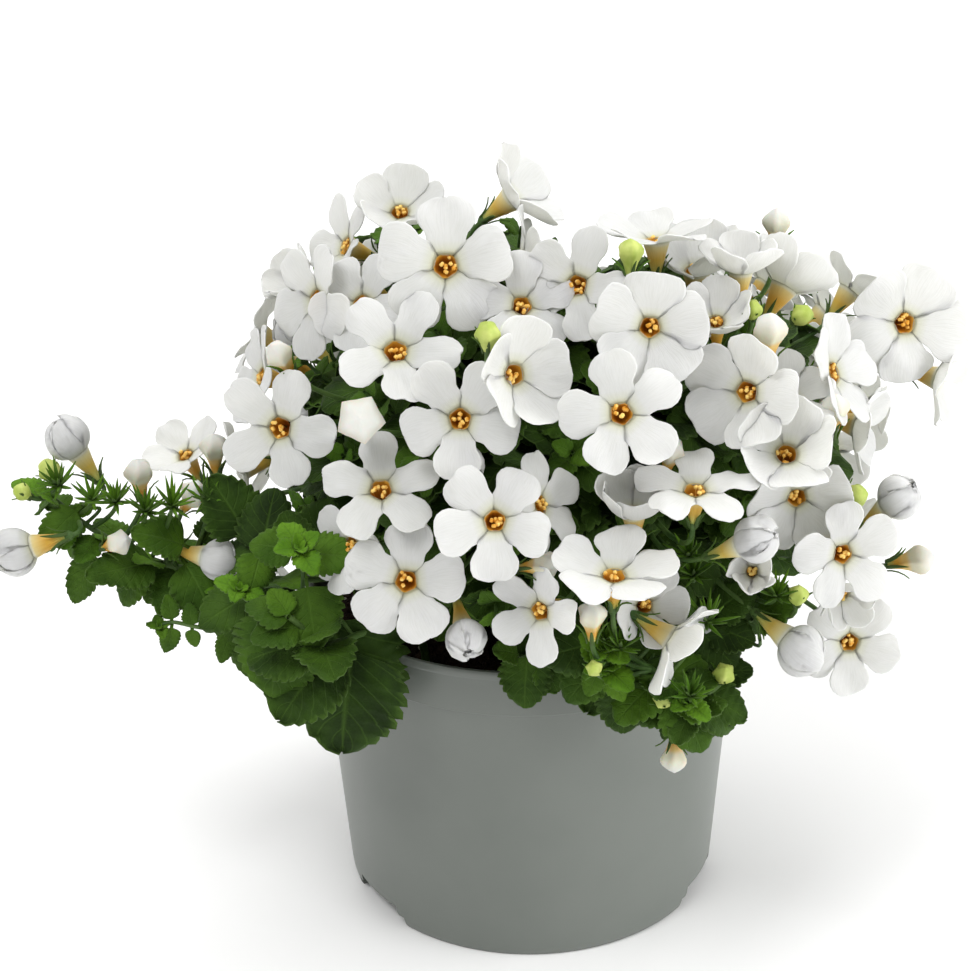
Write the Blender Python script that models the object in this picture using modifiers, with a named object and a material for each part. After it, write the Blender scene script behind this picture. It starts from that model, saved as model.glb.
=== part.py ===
"""A white bacopa in a plain grey nursery pot.

The model is in metres with +Z up. The origin is the middle of the pot's foot, on the surface that
the pot stands on. -Y is the front. Blooms are placed along the lines of sight of the photograph,
where each line meets the rounded mound of the plant, so their pixels are named in the bloom rows.
"""

import math
import random
from collections import namedtuple
from itertools import product

import bmesh
import bpy
from mathutils import Matrix, Vector
from mathutils.bvhtree import BVHTree

MM = 0.001
GAP = 0.3 * MM                  # clearance between pieces that touch on the real plant

# The pot: a 12 cm nursery pot.
POT_HEIGHT = 93.2 * MM
LIP_RADIUS = 60.0 * MM          # outside of the rolled lip
LIP_BEAD = 2.6 * MM             # height of the lip's bead
COLLAR_TOP_RADIUS = 59.3 * MM
COLLAR_RADIUS = 59.0 * MM       # outside of the collar at its lower edge
COLLAR_BOTTOM = 80.0 * MM
BODY_TOP_RADIUS = 57.2 * MM
FOOT_RADIUS = 50.9 * MM
WALL = 1.3 * MM
FLOOR_RISE = 6.0 * MM           # the floor's outer ring stands this far above the surface
FLOOR_THICKNESS = 1.4 * MM
CENTRE_RADIUS = 20.0 * MM       # the floor's middle, which stands on the surface
POT_SIDES = 28
NOTCH_WIDTH = 16.0 * MM
NOTCH_HEIGHT = 5.6 * MM
NOTCH_CORNER = 2.0 * MM
NOTCH_RING = 50.5 * MM          # the wall's radius where a notch cuts through it
NOTCH_DEPTH = 8.0 * MM
NOTCH_ANGLES = (-143.0, -23.0, 97.0)
DRAIN_RADIUS = 4.0 * MM
DRAIN_RING = 36.0 * MM
DRAINS = 4
DRAIN_SIDES = 8
DRAIN_TURN = 7.0                # degrees from +X to the first drain

# The potting soil.
SOIL_EDGE = 78.0 * MM
SOIL_CROWN = 81.5 * MM
SOIL_SIDES = 18
SOIL_GAP = 0.9 * MM             # a rounder pot wall than the soil's, so its corners stay clear
STEM_HOLE_DEPTH = 22.0 * MM
STEM_HOLE_GAP = 0.5 * MM
STEM_HOLE_SIDES = 6
STEM_FOOT = SOIL_EDGE - STEM_HOLE_DEPTH + 4 * MM    # a stem's foot stops short of its hole's floor

# The plant's mound, and the smaller core of crowded stems inside it.
MOUND_CENTRE = Vector((12.0, 2.0, 124.0)) * MM
MOUND_RADII = Vector((90.0, 82.0, 79.0)) * MM
CORE_CENTRE = Vector((10.0, 4.0, 126.0)) * MM
CORE_RADII = Vector((62.0, 56.0, 50.0)) * MM
CORE_FLOOR = 99.0 * MM          # its flat underside clears the pot's lip and the arching stems
CORE_SEGMENTS = 14
CORE_RINGS = 8
CORE_LOWEST_ROOT = CORE_FLOOR + 3 * MM
CORE_CLEARANCE = 1.0 * MM       # kept from the core by everything that is another node
CROWN_STEMS = ((0, -14), (22, -4), (10, 20), (-18, 12), (-14, -20))
CROWN_STEM_RADIUS = 2.2 * MM
CROWN_STEM_TOP = CORE_FLOOR + 8 * MM

# Where the photograph was taken from, and its frame in pixels.
EYE = Vector((-11.0, -602.0, 409.0)) * MM
LOOKS_DOWN = math.radians(25.9)
LEANS = math.radians(-1.21)
FOCAL_LENGTH_PX = 2500.0
FRAME_CENTRE_PX = (485.0, 485.5)

# One bloom.
LOBES = 5
LOBE_STEP = 2 * math.pi / LOBES
THROAT = 0.14                   # the throat's radius, as a share of the bloom's
LOBE_CENTRE = 0.63              # where a lobe's round end is centred
LOBE_ROUND = 0.36               # radius of that round end
NOTCH_REACH = 0.36              # how far out two lobes part
LOBE_EDGE_DEGREES = (-100, -34, 34, 100)
LOBE_MIDDLE = 0.62
LOBE_HALF_ANGLE = math.radians(34.5)
PETAL_HALF_THICKNESS = 0.4 * MM
PETAL_WAVE = 0.035
TUBE_LENGTH = 9.0 * MM
TUBE_BASE_RADIUS = 1.4 * MM
OPEN_RISE = (math.radians(26), math.radians(-14))      # lobe's slope at throat and tip, fully open
SHUT_RISE = (math.radians(20), math.radians(160))      # and fully shut

# Calyx, stalk, bud and leaf.
CALYX_RADIUS = 1.1 * MM         # where two sepals part
CALYX_DEPTH = 2.2 * MM
SEPAL_REACH = 3.6 * MM
SEPAL_HEIGHT = 2.4 * MM
CALYX_CLEARANCE = 0.8 * MM      # from the cup's middle to a bloom's tube, which leaves the gap round it
STALK_RADIUS = 1.0 * MM
STALK_ROOT = 26.0 * MM          # how deep a stalk's tip runs into the core
STALK_SINK = 0.3 * MM           # how far one ends past the middle of a shoot's stem
BLOOM_SHIFTS = (0, 2, -1.5, 4, -3, 6, -4.5, 8, -6, 10, -7.5, 12, 14, 16, 18, 20, 22, 24, 26)
BUD_SHIFTS = (0, 2, -2, 4, -4, 6, -6, 8, 10, 12, 14, 16, 18, 20, 22)
STALK_BENDS = ((0.3, 0), (0.5, 0), (0.3, 0.3), (0.3, -0.3), (0.5, 0.5), (0.5, -0.5),
               (0.2, 0.7), (0.2, -0.7), (0.8, 0.2), (0.8, -0.2))
STRAIGHT_STALK = math.radians(48)   # a stalk bends where its root lies further round than this
SHARPEST_STALK = math.radians(105)
LEAF_HALF_THICKNESS = 0.4 * MM
LEAF_OUTLINE = ((0.20, 0.56), (0.44, 1.00), (0.58, 0.82), (0.80, 0.80))
LEAF_MIDRIB = (0.30, 0.66)
LEAF_FOLD = 0.22

Bloom = namedtuple("Bloom", "name px py nearer yaw tilt roll radius opening")
Bud = namedtuple("Bud", "px py nearer yaw tilt length")
Leaf = namedtuple("Leaf", "along yaw tilt length width")
Piece = namedtuple("Piece", "points faces")

# Blooms, nearest first: the throat's pixel, how much nearer than the mound it stands (mm), the way
# it faces (degrees to the right of the front, degrees up), a lobe's turn from upright, its radius
# (mm) and how far it is open.
BLOOMS = (
    Bloom("bloom_01", 445, 267, 6, 2, 24, 0, 17.5, 1.0),
    Bloom("bloom_02", 648, 333, 6, 0, 22, 4, 16.0, 0.92),
    Bloom("bloom_03", 622, 413, 8, -3, 32, -16, 15.5, 0.95),
    Bloom("bloom_04", 492, 522, 6, 3, 30, 36, 15.0, 0.95),
    Bloom("bloom_05", 405, 583, 6, -4, 26, 8, 15.8, 0.95),
    Bloom("bloom_06", 460, 418, 3, 0, 26, 36, 15.5, 0.97),
    Bloom("bloom_07", 400, 352, 5, 4, 46, 30, 16.5, 0.9),
    Bloom("bloom_08", 282, 427, 5, -14, 20, 20, 16.0, 0.88),
    Bloom("bloom_09", 615, 577, 8, 4, 72, 10, 16.0, 0.88),
    Bloom("bloom_10", 785, 457, 6, -4, 40, 20, 15.0, 0.68),
    Bloom("bloom_11", 903, 322, 4, 16, 18, 36, 16.5, 0.95),
    Bloom("bloom_12", 733, 390, 2, 30, 12, 10, 15.5, 0.9),
    Bloom("bloom_13", 697, 492, 4, 4, 72, 6, 15.0, 0.95),
    Bloom("bloom_14", 840, 555, 5, 22, 14, 0, 14.5, 0.9),
    Bloom("bloom_15", 848, 645, 3, 8, 8, 36, 14.5, 0.95),
    Bloom("bloom_16", 517, 374, 3, -26, 22, 20, 15.0, 0.6),
    Bloom("bloom_17", 382, 490, 1, -4, 48, -6, 15.5, 0.95),
    Bloom("bloom_18", 400, 216, -2, -8, 16, 10, 13.5, 0.9),
    Bloom("bloom_19", 541, 612, 4, -34, 12, 12, 13.5, 0.85),
    Bloom("bloom_20", 682, 645, 8, 84, -14, 20, 14.5, 0.85),
    Bloom("bloom_21", 795, 500, -2, 14, 6, 6, 14.0, 0.88),
    Bloom("bloom_22", 628, 507, 2, -20, 56, 0, 12.5, 0.4),
    Bloom("bloom_23", 738, 546, 5, 62, 30, 10, 13.0, 0.24),
    Bloom("bloom_24", 782, 634, 4, 52, -24, 10, 14.5, 0.3),
    Bloom("bloom_25", 462, 474, -2, 0, 62, 0, 12.0, 0.35),
    Bloom("bloom_26", 462, 626, 0, 10, -16, 24, 11.5, 0.28),
    Bloom("bloom_27", 655, 240, -4, 6, 106, 0, 15.5, 0.92),
    Bloom("bloom_28", 512, 199, -4, 112, 40, 16, 15.5, 0.8),
    Bloom("bloom_29", 578, 284, -6, -22, 30, 16, 15.0, 0.92),
    Bloom("bloom_30", 350, 243, -6, -48, 22, 20, 14.5, 0.9),
    Bloom("bloom_31", 318, 302, -2, -58, 16, 20, 15.5, 0.85),
    Bloom("bloom_32", 299, 282, -12, -70, 44, 0, 12.0, 0.42),
    Bloom("bloom_33", 262, 376, -8, -74, 22, 10, 14.0, 0.88),
    Bloom("bloom_34", 262, 336, -18, -96, 28, 20, 13.0, 0.9),
    Bloom("bloom_35", 695, 268, -8, 24, 104, 10, 14.5, 0.8),
    Bloom("bloom_36", 740, 272, -4, -14, 98, 0, 14.0, 0.6),
    Bloom("bloom_37", 784, 284, -2, 128, 48, 0, 16.0, 0.42),
    Bloom("bloom_38", 850, 291, -8, 118, 46, 0, 14.0, 0.7),
    Bloom("bloom_39", 838, 375, 2, 74, 24, 30, 15.5, 0.78),
    Bloom("bloom_40", 857, 424, -4, 66, -8, 0, 13.5, 0.7),
    Bloom("bloom_41", 785, 398, -4, 4, 60, 0, 14.0, 0.9),
    Bloom("bloom_42", 938, 378, -8, 62, -6, 14, 14.0, 0.8),
    Bloom("bloom_43", 882, 510, -4, 76, 46, 0, 13.5, 0.26),
    Bloom("bloom_44", 352, 545, -6, -50, 22, 10, 13.0, 0.9),
    Bloom("bloom_45", 540, 505, -6, 58, 22, 10, 13.5, 0.85),
    Bloom("bloom_46", 524, 262, -6, 98, 12, 10, 14.5, 0.8),
    Bloom("bloom_47", 80, 452, 0, -96, 58, 0, 14.0, 0.2),
    Bloom("bloom_48", 32, 545, 4, -88, -16, 20, 14.5, 0.2),
    Bloom("bloom_49", 205, 556, 8, 66, -2, 0, 13.0, 0.24),
    Bloom("bloom_50", 188, 455, -12, -50, 64, 0, 12.5, 0.7),
)

# Small shut buds that stay fused to the shoot which bears them, by their base's pixel.
BUDS = (
    Bud(361, 432, 6, 0, 60, 9.0),
    Bud(293, 372, 4, -50, 56, 11.0),
    Bud(487, 348, 0, 10, 70, 8.5),
    Bud(630, 278, 0, -4, 92, 10.0),
    Bud(773, 236, -16, 0, 90, 8.5),
    Bud(752, 318, 0, -10, 70, 5.5),
    Bud(795, 322, 0, 50, 50, 6.0),
    Bud(768, 360, 6, 4, 86, 11.5),
    Bud(832, 436, 2, -6, 84, 12.0),
    Bud(667, 470, 0, 10, 64, 10.0),
    Bud(838, 497, -4, 80, 10, 7.5),
    Bud(874, 548, 0, 40, 60, 9.5),
    Bud(888, 565, -2, 84, 14, 12.5),
    Bud(520, 568, 4, 66, 18, 10.5),
    Bud(592, 640, 8, -6, 84, 11.0),
    Bud(672, 730, 8, 0, -72, 10.0),
    Bud(722, 680, 2, 10, 60, 6.0),
    Bud(663, 705, 8, -10, 60, 5.0),
    Bud(797, 604, 4, 10, 80, 5.5),
    Bud(596, 672, 10, -20, 50, 4.5),
    Bud(142, 498, 2, -10, 84, 12.0),
    Bud(216, 474, -4, 4, 88, 12.0),
    Bud(183, 510, 6, 46, 52, 12.0),
    Bud(106, 548, 6, 50, 30, 8.0),
    Bud(56, 478, 0, -60, 60, 6.5),
    Bud(30, 497, 2, -80, 40, 5.0),
)

# Shoots that stand in holes of their own and arch over the lip: their routes in mm and their leaves.
SHOOTS = {
    "trailing_shoot": ((-45, -13, 96.6), (-60, -17, 97.4), (-80, -19, 101), (-99, -20, 107),
                       (-114, -19, 116), (-124, -18, 125)),
    "left_shoot": ((-35, -40, 97.0), (-43, -49, 98.6), (-51, -58, 102), (-60, -62, 112)),
    "front_shoot": ((18, -50, 96.8), (22, -60, 98.6), (30, -69, 98), (38, -75, 91), (42, -77, 82)),
    "back_spray_left": ((-28, 44, 96.8), (-36, 56, 98.6), (-44, 66, 106), (-50, 70, 122),
                        (-46, 66, 146), (-34, 54, 168)),
    "back_spray_middle": ((8, 52, 96.8), (10, 65, 98.8), (14, 72, 106), (16, 75, 124),
                          (14, 71, 150), (10, 56, 174), (8, 36, 187)),
    "back_spray_right": ((44, 30, 96.8), (56, 40, 98.6), (66, 50, 106), (74, 54, 122),
                         (72, 54, 146), (58, 46, 168)),
}
SHOOT_RADIUS = 1.2 * MM
SHOOT_FOOT = 0.8                # a shoot's foot stands this share of its first radius from the middle
SHOOT_RISE = 3                  # points of a shoot's route before it has crossed the lip
SHOOT_LEAVES = {
    "trailing_shoot": (
        Leaf(0.05, -30, -10, 17, 0.86), Leaf(0.12, -80, 20, 16, 0.80), Leaf(0.20, -20, -50, 18, 0.86),
        Leaf(0.32, -150, 30, 15, 0.80), Leaf(0.40, -10, -20, 15, 0.80), Leaf(0.52, -60, -50, 15, 0.80),
        Leaf(0.60, -130, 40, 12, 0.76), Leaf(0.70, -20, 0, 12, 0.76), Leaf(0.80, -90, -60, 12, 0.76),
        Leaf(0.88, -140, 10, 11, 0.70), Leaf(0.94, -40, 50, 9, 0.70), Leaf(1.00, -95, 30, 11, 0.66),
    ),
    "left_shoot": (
        Leaf(0.10, -20, -58, 31, 1.04), Leaf(0.28, -58, -34, 26, 1.00), Leaf(0.46, -86, 4, 22, 0.96),
        Leaf(0.60, 10, 12, 17, 0.94), Leaf(0.80, -44, 30, 15, 0.94), Leaf(0.92, -98, 34, 13, 0.90),
        Leaf(1.00, 0, 62, 13, 0.90), Leaf(0.96, -40, -16, 16, 0.94),
    ),
    "front_shoot": (
        Leaf(0.04, -50, -32, 18, 0.92), Leaf(0.16, -20, -60, 18, 0.92), Leaf(0.26, 74, 0, 17, 0.90),
        Leaf(0.40, -58, -20, 16, 0.88), Leaf(0.54, 30, -40, 17, 0.92), Leaf(0.68, 84, -20, 15, 0.88),
        Leaf(0.80, -30, -64, 13, 0.84), Leaf(0.92, 40, 10, 12, 0.84), Leaf(1.00, 66, -50, 12, 0.84),
    ),
}
LEAF_ARCH = 0.5                 # radians that a leaf of a shoot bends over its length
LEAF_TURNS = (0, 12, -12, 24, -24, 40, -40)     # degrees aside and up, tried in turn where a leaf
LEAF_LIFTS = (0, 16, -16, 32, -32)              # would cross something, then further along
LEAF_SLIDES = (0, 0.04, -0.04, 0.08, -0.08, 0.12, -0.12)
LEAF_SINK = 0.6 * MM            # how far past the middle of a shoot's stem a leaf starts
LARGE_LEAF = 20.0               # mm; a shoot's longer leaves are placed before the blooms
SPRAY_BLOOMS = 6
SPRAY_BLOOM_TRIES = 120
SPRAY_BLOOM_RADIUS = (13.5 * MM, 16.0 * MM)
SPRAY_LOWEST_BLOOM = 84.0 * MM
SPRAY_NEAREST_BLOOM = 6.0 * MM  # the sprays' blooms stay behind this distance from the middle
SPRAY_LEAVES = 8
SPRAY_LEAF_TRIES = 200
SPRAY_LEAF_LENGTH = 17.0 * MM
SPRAY_LEAF_WIDTH = 0.84
MOUND_LEAVES = 46
MOUND_LEAF_TRIES = 900
MOUND_LEAF_LENGTH = (22.0 * MM, 29.0 * MM)
MOUND_LEAF_WIDTH = 0.80
MOUND_LEAF_LOWEST = -0.45       # share of the core's half height, from its middle
MOUND_LEAF_SINK = 0.90          # its root's share of the way out to the core's skin
GOLDEN_TURN = math.pi * (3 - math.sqrt(5))


def material(name, colour, roughness):
    """A plain finish: its colour, roughness and no metal."""
    made = bpy.data.materials.new(name)
    made.use_nodes = True
    shader = made.node_tree.nodes["Principled BSDF"]
    shader.inputs["Base Color"].default_value = (*colour, 1.0)
    shader.inputs["Roughness"].default_value = roughness
    shader.inputs["Metallic"].default_value = 0.0
    made.diffuse_color = (*colour, 1.0)
    return made


def named_collection(name):
    made = bpy.data.collections.new(name)
    bpy.context.scene.collection.children.link(made)
    return made


def mesh_of(name, piece):
    """A mesh from a piece's points and faces, turned so that its faces point out."""
    mesh = bpy.data.meshes.new(name)
    mesh.from_pydata([tuple(p) for p in piece.points], [], piece.faces)
    shape = bmesh.new()
    shape.from_mesh(mesh)
    bmesh.ops.recalc_face_normals(shape, faces=shape.faces)
    if shape.calc_volume(signed=True) < 0:
        bmesh.ops.reverse_faces(shape, faces=shape.faces)
    shape.to_mesh(mesh)
    shape.free()
    return mesh


def piece_of(mesh):
    return Piece([v.co.copy() for v in mesh.vertices], [tuple(p.vertices) for p in mesh.polygons])


def moved(piece, pose):
    return Piece([pose @ Vector(p) for p in piece.points], piece.faces)


def shape_of(piece):
    return BVHTree.FromPolygons([tuple(p) for p in piece.points], piece.faces)


def add_object(name, mesh, finish, collection, parent):
    mesh.materials.clear()
    mesh.materials.append(finish)
    made = bpy.data.objects.new(name, mesh)
    collection.objects.link(made)
    made.parent = parent
    return made


def evaluated_mesh(source):
    """The object's mesh with its modifiers applied."""
    bpy.context.view_layer.update()
    graph = bpy.context.evaluated_depsgraph_get()
    return bpy.data.meshes.new_from_object(source.evaluated_get(graph))


def largest_body(mesh):
    """Leaves only a mesh's largest body: sealed hollows are filled and loose scraps dropped."""
    shape = bmesh.new()
    shape.from_mesh(mesh)
    bmesh.ops.triangulate(shape, faces=shape.faces)
    waiting = set(shape.faces)
    bodies = []
    while waiting:
        body = {waiting.pop()}
        front = list(body)
        while front:
            face = front.pop()
            for edge in face.edges:
                for other in edge.link_faces:
                    if other in waiting:
                        waiting.discard(other)
                        body.add(other)
                        front.append(other)
        bodies.append(body)

    def volume(body):
        return sum(f.verts[0].co.dot(f.verts[1].co.cross(f.verts[2].co)) for f in body)

    bodies.sort(key=volume)
    loose = [face for body in bodies[:-1] for face in body]
    bmesh.ops.delete(shape, geom=loose, context="FACES")
    shape.to_mesh(mesh)
    shape.free()


def fused(name, pieces):
    """One closed mesh from overlapping pieces, joined by a single union on a collection."""
    joining = named_collection(name + "_joining")
    first = bpy.data.objects.new(name + "_first", mesh_of(name, pieces[0]))
    bpy.context.scene.collection.objects.link(first)
    for number, piece in enumerate(pieces[1:]):
        part = bpy.data.objects.new(f"{name}_{number}", mesh_of(name, piece))
        joining.objects.link(part)
    union = first.modifiers.new("union", "BOOLEAN")
    union.operation = "UNION"
    union.operand_type = "COLLECTION"
    union.collection = joining
    union.solver = "EXACT"
    mesh = evaluated_mesh(first)
    largest_body(mesh)
    for part in list(joining.objects):
        bpy.data.objects.remove(part)
    bpy.data.objects.remove(first)
    bpy.data.collections.remove(joining)
    return mesh


def turned(name, profile, sides):
    """A mesh turned about Z from a profile of (radius, height) points, joined to a smooth skin."""
    mesh = bpy.data.meshes.new(name)
    points = [(radius, 0.0, height) for radius, height in profile]
    mesh.from_pydata(points, [(i, i + 1) for i in range(len(points) - 1)], [])
    holder = bpy.data.objects.new(name, mesh)
    bpy.context.scene.collection.objects.link(holder)
    screw = holder.modifiers.new("turn", "SCREW")
    screw.steps = sides
    screw.render_steps = sides
    screw.use_merge_vertices = True
    screw.merge_threshold = 0.00001
    screw.use_smooth_shade = True
    made = evaluated_mesh(holder)
    bpy.data.objects.remove(holder)
    return made


def poly_curve(name, points, cyclic=False):
    """A curve object of one straight-sided spline through the points."""
    curve = bpy.data.curves.new(name, "CURVE")
    curve.dimensions = "3D"
    spline = curve.splines.new("POLY")
    spline.points.add(len(points) - 1)
    for number, point in enumerate(points):
        spline.points[number].co = (*point, 1.0)
    spline.use_cyclic_u = cyclic
    made = bpy.data.objects.new(name, curve)
    bpy.context.scene.collection.objects.link(made)
    return made


def stem(route, radius, tip_share=0.7):
    """A thin three-sided stem along a route: a curve swept with a section, capped, made a mesh."""
    corners = [math.radians(90 + 120 * side) for side in range(3)]
    section = poly_curve("section", [(math.cos(a), math.sin(a), 0) for a in corners], True)
    holder = poly_curve("stem", route)
    curve = holder.data
    curve.bevel_mode = "OBJECT"
    curve.bevel_object = section
    curve.use_fill_caps = True
    for number, point in enumerate(curve.splines[0].points):
        share = number / (len(route) - 1)
        point.radius = radius * (1.0 - (1.0 - tip_share) * share)
    mesh = evaluated_mesh(holder)
    bpy.data.objects.remove(holder)
    bpy.data.curves.remove(section.data)
    shape = bmesh.new()
    shape.from_mesh(mesh)
    bmesh.ops.remove_doubles(shape, verts=shape.verts, dist=0.00001)
    bmesh.ops.triangulate(shape, faces=shape.faces)
    shape.to_mesh(mesh)
    shape.free()
    made = piece_of(mesh)
    bpy.data.meshes.remove(mesh)
    bpy.data.curves.remove(curve)
    return made


def facing(yaw, tilt):
    """The direction that is yaw degrees to the right of the front and tilt degrees up."""
    turn = math.radians(yaw)
    rise = math.radians(tilt)
    return Vector((math.sin(turn) * math.cos(rise), -math.cos(turn) * math.cos(rise),
                   math.sin(rise)))


def pose_at(place, front, roll):
    """The pose that puts local +Z along front and local +Y as near upright as it goes, then rolled."""
    upright = Vector((0, 0, 1)) if abs(front.z) < 0.985 else Vector((0, 1, 0))
    up = (upright - front * upright.dot(front)).normalized()
    right = up.cross(front)
    turn = Matrix((right, up, front)).transposed().to_4x4()
    return Matrix.Translation(place) @ turn @ Matrix.Rotation(-math.radians(roll), 4, "Z")


def sight_line(px, py):
    """The direction from the eye through a pixel of the photograph."""
    ahead = Vector((0, math.cos(LOOKS_DOWN), -math.sin(LOOKS_DOWN)))
    above = Vector((0, math.sin(LOOKS_DOWN), math.cos(LOOKS_DOWN)))
    across = Vector((1, 0, 0))
    right = across * math.cos(LEANS) + above * math.sin(LEANS)
    up = above * math.cos(LEANS) - across * math.sin(LEANS)
    x = (px - FRAME_CENTRE_PX[0]) / FOCAL_LENGTH_PX
    y = (FRAME_CENTRE_PX[1] - py) / FOCAL_LENGTH_PX
    return (ahead + right * x + up * y).normalized()


def on_mound(px, py, nearer):
    """Where a line of sight meets the mound, or passes nearest to it, and then nearer by some mm."""
    line = sight_line(px, py)
    start = Vector(((EYE - MOUND_CENTRE)[i] / MOUND_RADII[i] for i in range(3)))
    step = Vector((line[i] / MOUND_RADII[i] for i in range(3)))
    a = step.dot(step)
    b = step.dot(start)
    inside = b * b - a * (start.dot(start) - 1)
    distance = (-b - math.sqrt(max(inside, 0.0))) / a
    return EYE + line * (distance - nearer * MM)


def in_core(point, margin):
    """True where a point lies in the core or within a margin of it."""
    off = point - CORE_CENTRE
    scaled = Vector((off[i] / (CORE_RADII[i] + margin) for i in range(3)))
    return scaled.length < 1 and point.z > CORE_FLOOR - margin


def lobe_line(radius, opening, reach):
    """(distance from the bloom's axis, height, slope) at a reach along a lobe's middle."""
    low = SHUT_RISE[0] + (OPEN_RISE[0] - SHUT_RISE[0]) * opening
    high = SHUT_RISE[1] + (OPEN_RISE[1] - SHUT_RISE[1]) * opening
    length = (1 - THROAT) * radius
    share = (reach - THROAT) / (1 - THROAT)
    slope = low + (high - low) * share
    away = length * (math.sin(slope) - math.sin(low)) / (high - low)
    height = length * (math.cos(low) - math.cos(slope)) / (high - low)
    return max(THROAT * radius + away, 0.8 * MM), height, slope


def lobe_point(radius, opening, turn, reach, side, lift=0.0):
    """A point of the lobe that points to turn: reach outward, side across, lift off the surface."""
    away, height, slope = lobe_line(radius, opening, reach)
    along = away - lift * math.sin(slope)
    across = max(-1.0, min(1.0, side * radius / (away * math.tan(LOBE_HALF_ANGLE))))
    wrap = min(1.0, 1.6 * (1 - opening))
    flat_across = across * away * math.tan(LOBE_HALF_ANGLE)
    around = across * LOBE_HALF_ANGLE
    out = along * (1 - wrap) + along * math.cos(around) * wrap
    over = flat_across * (1 - wrap) + along * math.sin(around) * wrap
    return Vector((out * math.sin(turn) + over * math.cos(turn),
                   out * math.cos(turn) - over * math.sin(turn),
                   height + lift * math.cos(slope)))


def corolla(radius, opening, draw):
    """One bloom about its throat, facing +Z: five rounded lobes over a tapered tube.

    It returns the bloom with its tube's foot still open, and the foot's ring of points.
    """
    points = []
    faces = []

    def add(point):
        points.append(point)
        return len(points) - 1

    ring = []
    for lobe in range(LOBES):
        between = (lobe + 0.5) * LOBE_STEP
        around = Vector((math.sin(between), math.cos(between), 0))
        collar = THROAT * radius + (0.3 + 0.3 * (1 - opening)) * MM
        notch = lobe_line(radius, opening, NOTCH_REACH)
        ring.append((add(around * THROAT * radius), add(around * collar + Vector((0, 0, -0.8 * MM))),
                     add(around * notch[0] + Vector((0, 0, notch[1]))),
                     add(around * TUBE_BASE_RADIUS + Vector((0, 0, -TUBE_LENGTH)))))
    pit = add(Vector((0, 0, -0.16 * radius)))
    for lobe in range(LOBES):
        turn = lobe * LOBE_STEP
        edge = []
        for degrees in LOBE_EDGE_DEGREES:
            reach = LOBE_CENTRE + LOBE_ROUND * math.cos(math.radians(degrees))
            side = LOBE_ROUND * math.sin(math.radians(degrees))
            wave = draw.uniform(-PETAL_WAVE, PETAL_WAVE) * radius
            edge.append(add(lobe_point(radius, opening, turn, reach, side, wave)))
        before = ring[lobe - 1]
        after = ring[lobe]
        over = add(lobe_point(radius, opening, turn, LOBE_MIDDLE, 0, PETAL_HALF_THICKNESS))
        under = add(lobe_point(radius, opening, turn, LOBE_MIDDLE, 0, -PETAL_HALF_THICKNESS))
        upper = [before[0], before[2], *edge, after[2], after[0]]
        lower = [before[1], before[2], *edge, after[2], after[1]]
        for a, b in zip(upper, upper[1:] + upper[:1]):
            faces.append((a, over, b))
        for a, b in zip(lower, lower[1:] + lower[:1]):
            faces.append((b, under, a))
        faces.append((before[0], after[0], pit))
        faces.append((before[1], after[3], after[1]))
        faces.append((before[1], before[3], after[3]))
    return Piece(points, faces), [points_of[3] for points_of in ring]


def calyx():
    """The green cup under a bloom, about its middle: five pointed sepals, open below at a ring."""
    points = [Vector((0, 0, 0))]
    faces = []
    for sepal in range(LOBES):
        turn = sepal * LOBE_STEP
        gap = turn + LOBE_STEP / 2
        points.append(Vector((math.sin(turn) * SEPAL_REACH, math.cos(turn) * SEPAL_REACH,
                              SEPAL_HEIGHT)))
        points.append(Vector((math.sin(gap) * CALYX_RADIUS, math.cos(gap) * CALYX_RADIUS,
                              -CALYX_DEPTH)))
    for sepal in range(LOBES):
        tip, after = 1 + 2 * sepal, 2 + 2 * sepal
        before = 2 + 2 * ((sepal - 1) % LOBES)
        faces += [(0, tip, before), (0, after, tip), (before, tip, after)]
    return Piece(points, faces), [2 + 2 * sepal for sepal in range(LOBES)]


def bud_head(length):
    """A shut bud about its foot, along +Z: it swells to a blunt head and is open below at a ring."""
    points = [Vector((0, 0, length))]
    faces = []
    for radius, height in ((STALK_RADIUS, 0.0), (0.17 * length, 0.4 * length),
                           (0.33 * length, 0.74 * length)):
        for side in range(LOBES):
            turn = side * LOBE_STEP
            points.append(Vector((math.sin(turn) * radius, math.cos(turn) * radius, height)))
    for side in range(LOBES):
        after = (side + 1) % LOBES
        for level in range(2):
            a, b = 1 + level * LOBES + side, 1 + level * LOBES + after
            faces += [(a, b, b + LOBES), (a, b + LOBES, a + LOBES)]
        top = 1 + 2 * LOBES
        faces.append((0, top + side, top + after))
    return Piece(points, faces), [1 + side for side in range(LOBES)]


def stalked(head, ring, down, route, pointed):
    """A head with a stalk grown from its open ring: down first, along the route, to its end.

    A pointed stalk runs out to a tip deep inside what bears it; the other ends in a capped ring.
    """
    points = list(head.points)
    faces = list(head.faces)
    centre = sum((points[i] for i in ring), Vector()) / LOBES
    offsets = [points[i] - centre for i in ring]
    size = offsets[0].length
    way = down
    stops = route[:-1] if pointed else route
    for number, stop in enumerate(stops):
        after = (route[number + 1] - stop) if number + 1 < len(route) else (stop - centre)
        ahead = ((stop - centre).normalized() + after.normalized()).normalized()
        turn = way.rotation_difference(ahead)
        offsets = [turn @ offset * (STALK_RADIUS / size) for offset in offsets]
        size = STALK_RADIUS
        fresh = list(range(len(points), len(points) + LOBES))
        points += [stop + offset for offset in offsets]
        for side in range(LOBES):
            a, b = ring[side], ring[(side + 1) % LOBES]
            c, d = fresh[side], fresh[(side + 1) % LOBES]
            faces += [(a, b, d), (a, d, c)]
        ring, centre, way = fresh, stop, ahead
    if pointed:
        points.append(route[-1])
        tip = len(points) - 1
        faces += [(ring[side], ring[(side + 1) % LOBES], tip) for side in range(LOBES)]
    else:
        faces += [(ring[0], ring[side], ring[side + 1]) for side in range(1, LOBES - 1)]
    return Piece(points, faces)


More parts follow.
